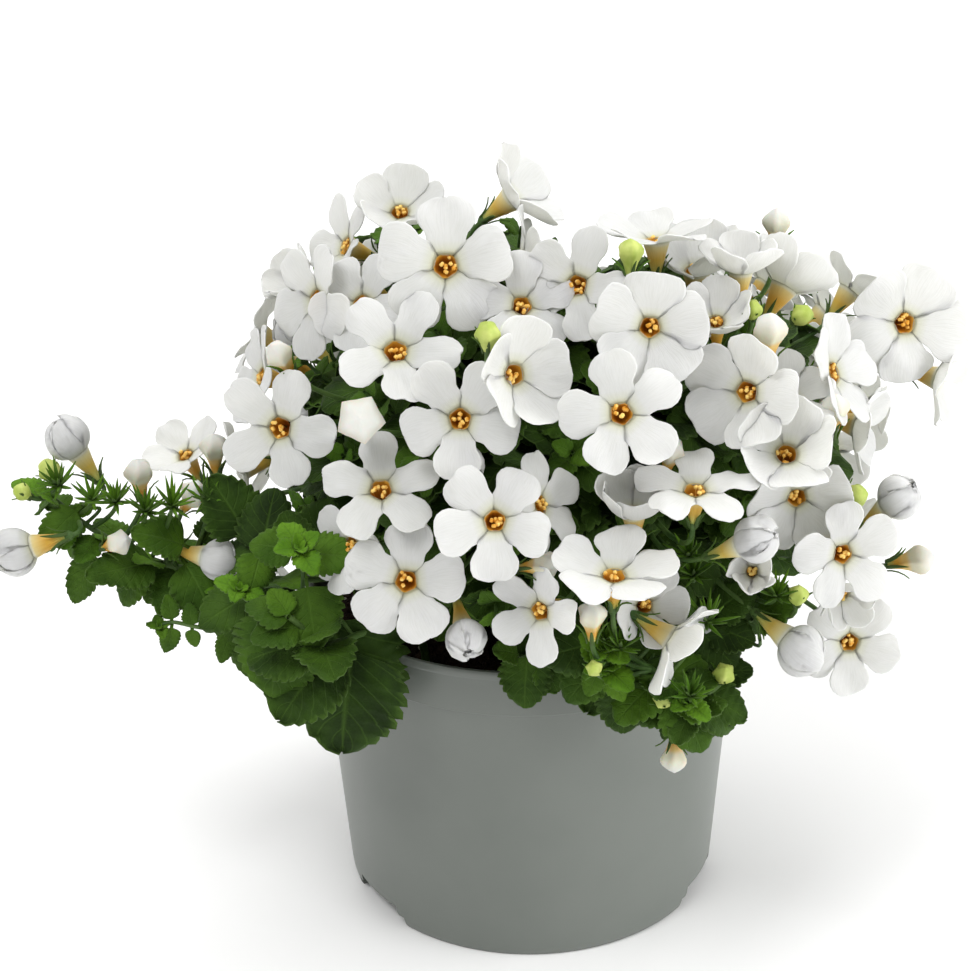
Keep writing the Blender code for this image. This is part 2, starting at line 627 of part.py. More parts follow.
def capped(piece, ring):
    """A piece with its open ring closed flat."""
    return Piece(piece.points, piece.faces + [(ring[0], ring[side], ring[side + 1])
                                              for side in range(1, LOBES - 1)])


def leaf(length, width, arch, fold=LEAF_FOLD):
    """A toothed leaf about its root, growing along +Y with its upper side to +Z."""
    def spot(along, across, lift=0.0):
        bend = arch * along
        return Vector((across, length * math.sin(bend) / arch if arch else length * along,
                       length * (math.cos(bend) - 1) / arch + fold * abs(across) + lift))

    half = 0.5 * width * length
    root = spot(0, 0)
    tip = spot(1, 0)
    right = [spot(along, half * share) for along, share in LEAF_OUTLINE]
    left = [spot(along, -half * share) for along, share in LEAF_OUTLINE]
    over = [spot(along, 0, LEAF_HALF_THICKNESS) for along in LEAF_MIDRIB]
    under = [spot(along, 0, -LEAF_HALF_THICKNESS) for along in LEAF_MIDRIB]
    points = [root, tip, *right, *left, *over, *under]
    rows = len(LEAF_OUTLINE)
    faces = []
    for start, turn in ((2, 1), (2 + rows, -1)):
        edge = [start + i for i in range(rows)]
        for ribs, side in ((2 + 2 * rows, 1), (4 + 2 * rows, -1)):
            strip = [(0, edge[0], ribs), (edge[0], edge[1], ribs), (edge[1], ribs + 1, ribs),
                     (edge[1], edge[2], ribs + 1), (edge[2], edge[3], ribs + 1),
                     (edge[3], 1, ribs + 1)]
            faces += [face if turn * side > 0 else face[::-1] for face in strip]
    return Piece(points, faces)


class Taken:
    """The shapes already placed, with the node and the kind of each, so that new ones stay clear."""

    def __init__(self):
        self.shapes = []

    def add(self, node, piece, kind="part"):
        self.shapes.append((node, kind, shape_of(piece)))

    def clear(self, node, piece, alone=True):
        """True if piece crosses no other node and, when alone, nothing of its own but its bearer."""
        if node != "foliage" and any(in_core(p, CORE_CLEARANCE) for p in piece.points):
            return False
        shape = shape_of(piece)
        for owner, kind, other in self.shapes:
            if owner == node and (kind == "bearer" or not alone):
                continue
            if shape.overlap(other):
                return False
        return True


def pot_mesh(cutters):
    """The pot: lip bead, collar, tapered wall and stepped floor, with foot notches and drains."""
    inner_lip = LIP_RADIUS - 2.2 * MM
    inside_step = COLLAR_BOTTOM + 0.6 * MM
    floor_top = FLOOR_RISE + FLOOR_THICKNESS
    slope = (BODY_TOP_RADIUS - FOOT_RADIUS) / COLLAR_BOTTOM
    profile = [
        (0.0, FLOOR_THICKNESS),
        (CENTRE_RADIUS + 1.0 * MM, FLOOR_THICKNESS),
        (CENTRE_RADIUS + 2.4 * MM, floor_top),
        (FOOT_RADIUS + slope * floor_top - WALL, floor_top),
        (BODY_TOP_RADIUS - WALL, COLLAR_BOTTOM - 1.0 * MM),
        (COLLAR_RADIUS - WALL, inside_step),
        (inner_lip, POT_HEIGHT - 0.8 * MM),
        (LIP_RADIUS - 0.7 * MM, POT_HEIGHT),
        (LIP_RADIUS, POT_HEIGHT - 0.9 * MM),
        (LIP_RADIUS, POT_HEIGHT - LIP_BEAD + 0.5 * MM),
        (COLLAR_TOP_RADIUS, POT_HEIGHT - LIP_BEAD),
        (COLLAR_RADIUS, COLLAR_BOTTOM),
        (BODY_TOP_RADIUS, COLLAR_BOTTOM - 0.8 * MM),
        (FOOT_RADIUS + slope * 4.0 * MM, 4.0 * MM),
        (FOOT_RADIUS - 0.9 * MM, 0.0),
        (FOOT_RADIUS - 0.9 * MM - WALL, 0.0),
        (FOOT_RADIUS - WALL, FLOOR_RISE),
        (CENTRE_RADIUS + 1.4 * MM, FLOOR_RISE),
        (CENTRE_RADIUS, 0.0),
        (0.0, 0.0),
    ]
    made = bpy.data.objects.new("pot_blank", turned("pot", profile, POT_SIDES))
    bpy.context.scene.collection.objects.link(made)
    for number, degrees in enumerate(NOTCH_ANGLES):
        bpy.ops.mesh.primitive_cube_add(size=1.0)
        box = bpy.context.object
        box.name = f"notch_cutter_{number}"
        for vertex in box.data.vertices:
            vertex.co.x = NOTCH_RING + NOTCH_DEPTH * vertex.co.x
            vertex.co.y *= NOTCH_WIDTH
            vertex.co.z *= 2 * NOTCH_HEIGHT
        box.rotation_euler.z = math.radians(degrees)
        rounded = box.modifiers.new("round", "BEVEL")
        rounded.width = NOTCH_CORNER
        rounded.segments = 1
        cutters.append(box)
    for number in range(DRAINS):
        turn = math.radians(360 / DRAINS * number + DRAIN_TURN)
        bpy.ops.mesh.primitive_cylinder_add(vertices=DRAIN_SIDES, radius=DRAIN_RADIUS,
                                            depth=6 * FLOOR_THICKNESS)
        drill = bpy.context.object
        drill.name = f"drain_cutter_{number}"
        drill.location = (DRAIN_RING * math.cos(turn), DRAIN_RING * math.sin(turn), FLOOR_RISE)
        cutters.append(drill)
    return made


def cut(blank, cutters, collection):
    """The blank with every cutter taken away; the cutters stay as wires in their collection."""
    for number, cutter in enumerate(cutters):
        for holder in list(cutter.users_collection):
            holder.objects.unlink(cutter)
        collection.objects.link(cutter)
        cutter.hide_render = True
        cutter.display_type = "WIRE"
        taken = blank.modifiers.new(f"cut_{number}", "BOOLEAN")
        taken.operation = "DIFFERENCE"
        taken.object = cutter
    mesh = evaluated_mesh(blank)
    bpy.data.objects.remove(blank)
    return mesh


def soil_blank():
    """Potting soil: it fills the pot to a crowned, uneven surface."""
    slope = (BODY_TOP_RADIUS - FOOT_RADIUS) / COLLAR_BOTTOM
    floor_top = FLOOR_RISE + FLOOR_THICKNESS
    base = FOOT_RADIUS + slope * floor_top - WALL - SOIL_GAP
    edge = FOOT_RADIUS + slope * SOIL_EDGE - WALL - SOIL_GAP
    profile = [
        (0.0, SOIL_CROWN),
        (0.36 * edge, SOIL_CROWN - 0.4 * MM),
        (0.70 * edge, SOIL_CROWN - 1.4 * MM),
        (0.94 * edge, SOIL_EDGE + 0.8 * MM),
        (edge, SOIL_EDGE - 1.0 * MM),
        (base, floor_top + GAP),
        (CENTRE_RADIUS + 2.2 * MM, floor_top + GAP),
        (CENTRE_RADIUS + 0.2 * MM, FLOOR_THICKNESS + GAP),
        (0.0, FLOOR_THICKNESS + GAP),
    ]
    mesh = turned("soil", profile, SOIL_SIDES)
    for vertex in mesh.vertices:
        x, y, z = vertex.co
        if z > SOIL_EDGE + 0.4 * MM:
            vertex.co.z += 0.7 * MM * math.sin(x / (9 * MM)) * math.cos(y / (7 * MM) + 0.6)
    blank = bpy.data.objects.new("soil_blank", mesh)
    bpy.context.scene.collection.objects.link(blank)
    return blank


def stem_hole(number, place, radius):
    """The cutter of a plain hole that a stem stands in."""
    bpy.ops.mesh.primitive_cylinder_add(vertices=STEM_HOLE_SIDES, radius=radius,
                                        depth=2 * STEM_HOLE_DEPTH)
    drill = bpy.context.object
    drill.name = f"stem_hole_{number}"
    drill.location = (place.x, place.y, SOIL_EDGE)
    return drill


def core_piece():
    """The crowded inner stems and leaf stalks of the mound, as one rounded mass with a flat base."""
    mesh = bpy.data.meshes.new("core")
    shape = bmesh.new()
    bmesh.ops.create_uvsphere(shape, u_segments=CORE_SEGMENTS, v_segments=CORE_RINGS, radius=1.0)
    draw = random.Random(5)
    for vertex in shape.verts:
        size = 1 + draw.uniform(-0.06, 0.0)
        vertex.co = Vector((vertex.co[i] * CORE_RADII[i] * size for i in range(3))) + CORE_CENTRE
        vertex.co.z = max(vertex.co.z, CORE_FLOOR)
    bmesh.ops.remove_doubles(shape, verts=shape.verts, dist=0.0001)
    bmesh.ops.triangulate(shape, faces=shape.faces)
    shape.to_mesh(mesh)
    shape.free()
    return piece_of(mesh)


def along_route(route, share):
    """The point at a share of a route's length, and the route's direction there."""
    lengths = [(b - a).length for a, b in zip(route, route[1:])]
    left = share * sum(lengths)
    for a, b, length in zip(route, route[1:], lengths):
        if left <= length or b is route[-1]:
            return a.lerp(b, min(left / length, 1.0)), (b - a).normalized()
        left -= length
    return route[-1], (route[-1] - route[-2]).normalized()


def nearest_on_route(route, place):
    """The point of a route that lies nearest to a place."""
    return min((along_route(route, step / 40)[0] for step in range(10, 41)),
               key=lambda point: (point - place).length)


def core_anchor(place):
    """A point inside the core's skin, straight in from a place outside it."""
    off = place - CORE_CENTRE
    scaled = Vector((off[i] / CORE_RADII[i] for i in range(3)))
    point = CORE_CENTRE + off * (0.88 / scaled.length)
    point.z = max(point.z, CORE_LOWEST_ROOT)
    return point


def bent_route(start, away, end, bend, swing):
    """A route that leaves start along away and turns to end: its one bend, and the end."""
    reach = (end - start).length
    side = away.cross(end - start)
    side = side.normalized() if side.length > 1e-9 else Vector((1, 0, 0))
    middle = start + away * reach * bend + side * reach * swing
    return [start.lerp(middle, 0.55).lerp(middle.lerp(end, 0.55), 0.55), end]


class Plant:
    """Collects the green pieces of each shoot and keeps them clear of every other node."""

    def __init__(self, taken, routes):
        self.taken = taken
        self.routes = routes
        self.pieces = {}

    def keep(self, node, piece, kind="part"):
        self.pieces.setdefault(node, []).append(piece)
        self.taken.add(node, piece, kind)

    def hosts(self, place, only=None):
        """The shoots that could bear something at a place, nearest first, with the joint on each."""
        found = [("foliage", core_anchor(place))]
        found += [(name, nearest_on_route(route, place)) for name, route in self.routes.items()]
        if only:
            found = [pair for pair in found if pair[0] == only]
        return sorted(found, key=lambda pair: (pair[1] - place).length)

    def bear(self, head, ring, front, only=None):
        """Fuses a head to the nearest shoot that a stalk from its ring can reach unhindered."""
        start = sum((head.points[i] for i in ring), Vector()) / LOBES
        for alone in ((True,) if only else (True, False)):
            for node, anchor in self.hosts(start, only)[:3]:
                inward = (anchor - start).normalized()
                pointed = node == "foliage"
                end = anchor + inward * (STALK_ROOT if pointed else STALK_SINK)
                end.z = max(end.z, CORE_LOWEST_ROOT) if pointed else end.z
                if (end - start).angle(-front) > SHARPEST_STALK:
                    continue
                routes = [bent_route(start, -front, end, *bend) for bend in STALK_BENDS]
                if (end - start).angle(-front) < STRAIGHT_STALK:
                    routes.insert(0, [end])
                for route in routes:
                    grown = stalked(head, ring, -front, route, pointed)
                    if self.taken.clear(node, grown, alone):
                        self.keep(node, grown)
                        return node
        return None

    def grow_leaf(self, node, root, front, up, length, width, arch):
        """Adds a leaf at root that grows along front with its upper side to up, if it is clear."""
        side = front.cross(up)
        if side.length < 1e-6:
            return False
        side.normalize()
        face = side.cross(front).normalized()
        turn = Matrix((side, front, face)).transposed().to_4x4()
        blade = moved(leaf(length, width, arch), Matrix.Translation(root) @ turn)
        if not self.taken.clear(node, blade):
            return False
        self.keep(node, blade)
        return True


def calyx_pose(pose, front, clearance):
    """The pose of the calyx under a bloom, turned as the bloom is."""
    return Matrix.Translation(-front * (TUBE_LENGTH + clearance)) @ pose


def place_blooms(taken):
    """Poses every bloom of the list, moved along its line of sight until it crosses no other."""
    poses = {}
    reserved = Taken()
    for number, row in enumerate(BLOOMS):
        front = facing(row.yaw, row.tilt)
        solid = capped(*corolla(row.radius * MM, row.opening, random.Random(number)))
        line = sight_line(row.px, row.py)
        for shift in BLOOM_SHIFTS:
            place = on_mound(row.px, row.py, row.nearer) + line * shift * MM
            pose = pose_at(place, front, row.roll)
            cup = moved(capped(*calyx()), calyx_pose(pose, front, CALYX_CLEARANCE))
            both = (moved(solid, pose), cup)
            if all(taken.clear(None, piece) and reserved.clear(None, piece) for piece in both):
                for piece in both:
                    reserved.add(row.name, piece)
                poses[row.name] = (pose, solid)
                break
    for name, (pose, solid) in poses.items():
        taken.add(name, moved(solid, pose))
    return poses


def shoot_route(name):
    """A shoot's route from the foot of its hole, over the lip, to its tip."""
    points = [Vector(point) * MM for point in SHOOTS[name]]
    foot = Vector((points[0].x * SHOOT_FOOT, points[0].y * SHOOT_FOOT, 0))
    rise = [Vector((foot.x, foot.y, STEM_FOOT)), Vector((foot.x, foot.y, SOIL_CROWN + 5 * MM))]
    return rise + points


def grow_crown(plant):
    """The core and the thick stems that carry it, each standing in its hole in the soil."""
    plant.keep("foliage", core_piece(), "bearer")
    for x, y in CROWN_STEMS:
        route = [Vector((x * MM, y * MM, STEM_FOOT)), Vector((x * MM, y * MM, SOIL_CROWN)),
                 Vector((1.1 * x * MM, 1.1 * y * MM, CROWN_STEM_TOP))]
        plant.keep("foliage", stem(route, CROWN_STEM_RADIUS))


def grow_calyxes(plant, poses):
    """The green cup and the stalk under each bloom."""
    for row in BLOOMS:
        pose = poses[row.name][0]
        front = facing(row.yaw, row.tilt)
        cup, ring = calyx()
        plant.bear(moved(cup, calyx_pose(pose, front, CALYX_CLEARANCE)), ring, front)


def grow_buds(plant):
    """The small shut buds, each moved along its line of sight until its stalk runs free."""
    for row in BUDS:
        front = facing(row.yaw, row.tilt)
        head, ring = bud_head(row.length * MM)
        for shift in BUD_SHIFTS:
            spot = on_mound(row.px, row.py, row.nearer) + sight_line(row.px, row.py) * shift * MM
            if plant.bear(moved(head, pose_at(spot, front, 0)), ring, front):
                break


def dress(plant, name, rows):
    """Grows the listed leaves on a shoot, each turned aside where it would cross something."""
    for row in rows:
        for slide, lift, turn in product(LEAF_SLIDES, LEAF_LIFTS, LEAF_TURNS):
            share = min(max(row.along + slide, 0.0), 1.0)
            joint, _ = along_route(plant.routes[name][SHOOT_RISE:], share)
            out = facing(row.yaw + turn, row.tilt + lift)
            if plant.grow_leaf(name, joint - out * LEAF_SINK, out, Vector((0, -0.4, 1)),
                               row.length * MM, row.width, LEAF_ARCH):
                break


def spray_blooms(plant, name, draw):
    """Fuses open blooms to a spray at the back, each on a stalk of its own."""
    made = 0
    route = plant.routes[name][SHOOT_RISE:]
    for _ in range(SPRAY_BLOOM_TRIES):
        if made == SPRAY_BLOOMS:
            break
        out = along_route(route, draw.uniform(0.1, 1.0))[0] - MOUND_CENTRE
        out += Vector([draw.uniform(-30, 30) for _ in range(3)]) * MM
        scaled = Vector((out[i] / MOUND_RADII[i] for i in range(3)))
        throat = MOUND_CENTRE + out * (draw.uniform(0.94, 1.05) / scaled.length)
        if throat.z < SPRAY_LOWEST_BLOOM or throat.y < SPRAY_NEAREST_BLOOM:
            continue
        front = (throat - CORE_CENTRE).normalized() + Vector((0, 0, draw.uniform(-0.2, 0.4)))
        front.normalize()
        solid, ring = corolla(draw.uniform(*SPRAY_BLOOM_RADIUS), draw.uniform(0.78, 1.0), draw)
        bloom = moved(solid, pose_at(throat, front, draw.uniform(0, 72)))
        if plant.taken.clear(None, bloom) and plant.bear(bloom, ring, front, name):
            made += 1


def spray_leaves(plant, name, draw):
    """Grows leaves along a spray at the back, outwards and to all sides."""
    made = 0
    route = plant.routes[name][SHOOT_RISE:]
    for _ in range(SPRAY_LEAF_TRIES):
        if made == SPRAY_LEAVES:
            break
        joint, _ = along_route(route, draw.uniform(0.0, 1.0))
        out = (joint - CORE_CENTRE).normalized()
        out += Vector([draw.uniform(-0.9, 0.9) for _ in range(3)])
        out.normalize()
        made += plant.grow_leaf(name, joint - out * LEAF_SINK, out, Vector((0, 0, 1)),
                                SPRAY_LEAF_LENGTH * draw.uniform(0.8, 1.1), SPRAY_LEAF_WIDTH,
                                LEAF_ARCH)


def mound_leaves(plant, draw):
    """Grows the mound's leaves out of the core, spaced evenly round it, wherever they are clear."""
    made = 0
    for number in range(MOUND_LEAF_TRIES):
        if made == MOUND_LEAVES:
            break
        turn = number * GOLDEN_TURN
        level = draw.uniform(MOUND_LEAF_LOWEST, 1.0)
        wide = math.sqrt(1 - level * level)
        out = Vector((math.cos(turn) * wide * CORE_RADII.x, math.sin(turn) * wide * CORE_RADII.y,
                      level * CORE_RADII.z))
        root = CORE_CENTRE + out * MOUND_LEAF_SINK
        root.z = max(root.z, CORE_LOWEST_ROOT)
        normal = Vector((out[i] / CORE_RADII[i] ** 2 for i in range(3))).normalized()
        front = (normal + Vector([draw.uniform(-0.75, 0.75) for _ in range(3)])).normalized()
        made += plant.grow_leaf("foliage", root, front, Vector((0, 0, 1)) + normal * 0.2,
                                draw.uniform(*MOUND_LEAF_LENGTH), MOUND_LEAF_WIDTH,
                                draw.uniform(0.3, 0.7))


def build():
    for old in list(bpy.data.objects):
        bpy.data.objects.remove(old)
    parts = named_collection("potted_bacopa")
    cutting = named_collection("cutters")
    grey = material("pot_grey", (0.20, 0.215, 0.20), 0.5)
    earth = material("soil_brown", (0.035, 0.022, 0.014), 0.95)
    green = material("leaf_green", (0.045, 0.13, 0.02), 0.55)
    white = material("petal_white", (0.86, 0.86, 0.84), 0.6)
    whole = bpy.data.objects.new("plant_and_pot", None)
    parts.objects.link(whole)

    # Pot and soil.
    openings = []
    blank = pot_mesh(openings)
    pot = add_object("pot", cut(blank, openings, cutting), grey, parts, whole)
    pot.data.shade_smooth()
    pot.data.set_sharp_from_angle(angle=math.radians(30))
    routes = {name: shoot_route(name) for name in SHOOTS}
    holes = [stem_hole(i, Vector((x * MM, y * MM, 0)), CROWN_STEM_RADIUS + STEM_HOLE_GAP)
             for i, (x, y) in enumerate(CROWN_STEMS)]
    holes += [stem_hole(len(CROWN_STEMS) + i, route[0], SHOOT_RADIUS + STEM_HOLE_GAP)
              for i, route in enumerate(routes.values())]
    soil = add_object("soil", cut(soil_blank(), holes, cutting), earth, parts, whole)

    # Stems first, then the large leaves, the blooms, and what grows round them.
    taken = Taken()
    taken.add("pot", piece_of(pot.data))
    taken.add("soil", piece_of(soil.data))
    plant = Plant(taken, routes)
    grow_crown(plant)
    for name, route in routes.items():
        plant.keep(name, stem(route, SHOOT_RADIUS), "bearer")
    for name, rows in SHOOT_LEAVES.items():
        dress(plant, name, [row for row in rows if row.length >= LARGE_LEAF])
    poses = place_blooms(taken)
    grow_calyxes(plant, poses)
    grow_buds(plant)
    for name, rows in SHOOT_LEAVES.items():
        dress(plant, name, [row for row in rows if row.length < LARGE_LEAF])
    for number, name in enumerate(name for name in SHOOTS if name not in SHOOT_LEAVES):
        draw = random.Random(40 + number)
        spray_blooms(plant, name, draw)
        spray_leaves(plant, name, draw)
    mound_leaves(plant, random.Random(7))

    for name, (pose, solid) in poses.items():
        bloom = add_object(name, mesh_of(name, solid), white, parts, whole)
        bloom.matrix_world = pose
    for name, pieces in plant.pieces.items():
        add_object(name, fused(name, pieces), green, parts, whole)


build()
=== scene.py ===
import math
import random

import bmesh
import bpy
import numpy as np
from mathutils import Matrix, Vector
from mathutils.bvhtree import BVHTree


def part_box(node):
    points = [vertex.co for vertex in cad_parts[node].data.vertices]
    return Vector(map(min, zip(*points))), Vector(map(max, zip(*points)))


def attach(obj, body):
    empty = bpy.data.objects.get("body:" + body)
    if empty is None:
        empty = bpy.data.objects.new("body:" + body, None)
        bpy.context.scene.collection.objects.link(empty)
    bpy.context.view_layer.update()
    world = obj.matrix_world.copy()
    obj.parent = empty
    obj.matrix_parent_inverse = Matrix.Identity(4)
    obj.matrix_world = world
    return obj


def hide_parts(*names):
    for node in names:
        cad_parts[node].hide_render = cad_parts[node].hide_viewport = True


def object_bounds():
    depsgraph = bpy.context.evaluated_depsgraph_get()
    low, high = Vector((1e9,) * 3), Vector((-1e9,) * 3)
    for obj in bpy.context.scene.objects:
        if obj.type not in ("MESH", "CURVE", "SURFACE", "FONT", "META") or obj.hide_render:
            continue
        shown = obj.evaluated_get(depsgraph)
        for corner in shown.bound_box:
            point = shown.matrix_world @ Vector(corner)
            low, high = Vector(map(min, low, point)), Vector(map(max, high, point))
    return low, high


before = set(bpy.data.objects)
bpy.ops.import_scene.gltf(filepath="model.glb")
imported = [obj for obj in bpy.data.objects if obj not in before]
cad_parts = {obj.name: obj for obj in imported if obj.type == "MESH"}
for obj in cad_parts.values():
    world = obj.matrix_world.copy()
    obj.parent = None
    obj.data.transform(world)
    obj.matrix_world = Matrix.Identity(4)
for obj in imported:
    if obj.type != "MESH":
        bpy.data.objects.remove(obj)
solid_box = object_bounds()


# Pot
# A 12 cm nursery pot, moulded in one piece in matt grey plastic with a faint green cast. It has a
# rolled lip, a collar that ends in a step, a tapered wall, and a foot cut away at three notches.
MM = 0.001
POT_HEIGHT = 93.2 * MM
WALL = 1.3 * MM
COLLAR_BOTTOM = 80.0 * MM
BODY_TOP_RADIUS = 57.2 * MM
FOOT_RADIUS = 50.9 * MM
FLOOR_RISE = 6.0 * MM
FLOOR_TOP = 7.4 * MM
CENTRE_RADIUS = 20.0 * MM
POT_SIDES = 144
NOTCH_ANGLES = (-148.0, -23.0, 97.0)
NOTCH_SIZE = (9.0 * MM, 24.0 * MM, 11.2 * MM)
NOTCH_RING = 50.5 * MM
NOTCH_CORNER = 2.6 * MM
DRAIN_ANGLES = (7.0, 97.0, 187.0, 277.0)
DRAIN_RING = 36.0 * MM
DRAIN_RADIUS = 4.0 * MM
DRAIN_SIDES = 32


def shader_node(tree, kind, inputs=None, **settings):
    """Adds a node to a tree; inputs maps a socket to a plain value or to another node's socket."""
    made = tree.nodes.new(kind)
    for name, value in settings.items():
        setattr(made, name, value)
    for socket, value in (inputs or {}).items():
        if isinstance(value, bpy.types.NodeSocket):
            tree.links.new(value, made.inputs[socket])
        else:
            made.inputs[socket].default_value = value
    return made


def placed(name, data):
    """An object that shows some data, in the scene."""
    made = bpy.data.objects.new(name, data)
    bpy.context.scene.collection.objects.link(made)
    return made


def solid_of(name, shape):
    """An object in the scene with the faces of an edited shape, which is freed."""
    mesh = bpy.data.meshes.new(name)
    shape.to_mesh(mesh)
    shape.free()
    return placed(name, mesh)


def new_finish(name, **sockets):
    """A material with its Principled shader's plain sockets set; returns it, its tree and shader."""
    made = bpy.data.materials.new(name)
    made.use_nodes = True
    shader = made.node_tree.nodes["Principled BSDF"]
    for socket, value in sockets.items():
        shader.inputs[socket.replace("_", " ")].default_value = value
    return made, made.node_tree, shader


def grain_group():
    """Fine relief and slow mottling, in the object's own coordinates, for several finishes."""
    tree = bpy.data.node_groups.new("grain_and_mottle", "ShaderNodeTree")
    for name, value in (("Grain Scale", 900.0), ("Mottle Scale", 30.0)):
        socket = tree.interface.new_socket(name, in_out="INPUT", socket_type="NodeSocketFloat")
        socket.default_value = value
    for name in ("Grain", "Mottle"):
        tree.interface.new_socket(name, in_out="OUTPUT", socket_type="NodeSocketFloat")
    inside = tree.nodes.new("NodeGroupInput")
    outside = tree.nodes.new("NodeGroupOutput")
    place = shader_node(tree, "ShaderNodeTexCoord")
    fine = shader_node(tree, "ShaderNodeTexNoise", {
        "Vector": place.outputs["Object"], "Scale": inside.outputs["Grain Scale"], "Detail": 3.0})
    slow = shader_node(tree, "ShaderNodeTexNoise", {
        "Vector": place.outputs["Object"], "Scale": inside.outputs["Mottle Scale"], "Detail": 4.0})
    tree.links.new(fine.outputs["Fac"], outside.inputs["Grain"])
    tree.links.new(slow.outputs["Fac"], outside.inputs["Mottle"])
    return tree


def grain(tree, grain_scale, mottle_scale):
    """Places the grain group in a material."""
    made = shader_node(tree, "ShaderNodeGroup", node_tree=GRAIN)
    made.inputs["Grain Scale"].default_value = grain_scale
    made.inputs["Mottle Scale"].default_value = mottle_scale
    return made.outputs["Grain"], made.outputs["Mottle"]


def colour_ramp(tree, share, stops, easing="EASE"):
    """A colour that runs through (place, linear colour) stops as share goes from 0 to 1."""
    made = shader_node(tree, "ShaderNodeValToRGB", {"Fac": share})
    ramp = made.color_ramp
    ramp.interpolation = easing
    while len(ramp.elements) < len(stops):
        ramp.elements.new(0.5)
    for element, (place, colour) in zip(ramp.elements, stops):
        element.position = place
        element.color = (*colour, 1.0)
    return made.outputs["Color"]


def bump(tree, shader, height, strength, distance):
    """Feeds a height into a shader's normal."""
    made = shader_node(tree, "ShaderNodeBump", {"Height": height, "Strength": strength,
                                                "Distance": distance})
    tree.links.new(made.outputs["Normal"], shader.inputs["Normal"])


def mottled_finish(name, scales, stops, relief=None, rough=None, **sockets):
    """A material mottled between colours; scales are its grain's and its mottling's, relief is its
    bump's strength and height, and rough is the range of its roughness."""
    made, tree, shader = new_finish(name, **sockets)
    fine, mottle = grain(tree, *scales)
    tree.links.new(colour_ramp(tree, mottle, stops), shader.inputs["Base Color"])
    if relief:
        bump(tree, shader, fine, *relief)
    if rough:
        spread = shader_node(tree, "ShaderNodeMapRange", {
            "Value": mottle, "To Min": rough[0], "To Max": rough[1]})
        tree.links.new(spread.outputs["Result"], shader.inputs["Roughness"])
    return made


def growth_map(tree):
    """The two coordinates of a piece's growth map: across it, and along it from foot to tip."""
    place = shader_node(tree, "ShaderNodeUVMap", uv_map="Growth")
    split = shader_node(tree, "ShaderNodeSeparateXYZ", {"Vector": place.outputs["UV"]})
    return split.outputs["X"], split.outputs["Y"]


def tint_parts(tree):
    """The two parts of a piece's tint: its tone, and 0 on a sheet's upper side or 1 on its lower."""
    tint = shader_node(tree, "ShaderNodeAttribute", attribute_name="Tint")
    split = shader_node(tree, "ShaderNodeSeparateColor", {"Color": tint.outputs["Color"]})
    return split.outputs["Red"], split.outputs["Green"]


def lathe(name, profile, sides):
    """A mesh turned about Z from (radius, height) points, which run down the outside last."""
    shape = bmesh.new()
    rings = []
    for radius, height in profile:
        rings.append([shape.verts.new((radius * math.cos(2 * math.pi * side / sides),
                                       radius * math.sin(2 * math.pi * side / sides), height))
                      for side in range(sides)])
    for inner, outer in zip(rings, rings[1:]):
        for side in range(sides):
            after = (side + 1) % sides
            shape.faces.new((inner[side], inner[after], outer[after], outer[side]))
    bmesh.ops.remove_doubles(shape, verts=shape.verts, dist=1e-6)
    bmesh.ops.recalc_face_normals(shape, faces=shape.faces)
    return solid_of(name, shape)


def cut_away(piece, cutters):
    """Takes the cutters out of a piece for good and removes them."""
    for cutter in cutters:
        taken = piece.modifiers.new("cut", "BOOLEAN")
        taken.operation = "DIFFERENCE"
        taken.object = cutter
        bpy.context.view_layer.update()
        graph = bpy.context.evaluated_depsgraph_get()
        mesh = bpy.data.meshes.new_from_object(piece.evaluated_get(graph))
        piece.modifiers.clear()
        piece.data = mesh
        bpy.data.objects.remove(cutter)


GRAIN = grain_group()
slope = (BODY_TOP_RADIUS - FOOT_RADIUS) / COLLAR_BOTTOM
inner_foot = FOOT_RADIUS + slope * FLOOR_TOP - WALL
inside_profile = [
    (0.0, 1.4 * MM), (CENTRE_RADIUS + 1.0 * MM, 1.4 * MM), (CENTRE_RADIUS + 2.4 * MM, FLOOR_TOP),
    (inner_foot - 0.8 * MM, FLOOR_TOP), (inner_foot, FLOOR_TOP + 0.8 * MM),
    (BODY_TOP_RADIUS - WALL, COLLAR_BOTTOM - 1.0 * MM), (59.0 * MM - WALL, COLLAR_BOTTOM + 0.6 * MM),
]
lip_profile = [(radius * MM, POT_HEIGHT - drop * MM) for radius, drop in (
    (57.9, 1.6), (58.2, 0.6), (58.7, 0.12), (59.2, 0), (59.65, 0.14), (59.93, 0.5), (60.0, 1.0),
    (60.0, 1.9), (59.8, 2.35), (59.35, 2.6), (59.3, 3.2), (59.22, 6.0))]
collar_profile = [(radius * MM, COLLAR_BOTTOM + rise * MM) for radius, rise in (
    (59.05, 1.2), (58.98, 0.3), (58.75, 0), (57.35, -0.2), (57.16, -0.9))]
wall_profile = [(FOOT_RADIUS + slope * height * MM, height * MM) for height in (40.0, 5.0)]
foot_profile = [(FOOT_RADIUS - inset * MM, height * MM) for inset, height in (
    (0.1 - slope * 3.0, 2.6), (0.35, 0.9), (0.9, 0), (2.0, 0), (2.3, 0.5))]
base_profile = [
    (FOOT_RADIUS - WALL - 0.6 * MM, FLOOR_RISE), (CENTRE_RADIUS + 1.4 * MM, FLOOR_RISE),
    (CENTRE_RADIUS + 0.3 * MM, 0.8 * MM), (CENTRE_RADIUS, 0.0), (0.0, 0.0),
]
pot = lathe("grey_nursery_pot", inside_profile + lip_profile + collar_profile + wall_profile
            + foot_profile + base_profile, POT_SIDES)
pot_cutters = []
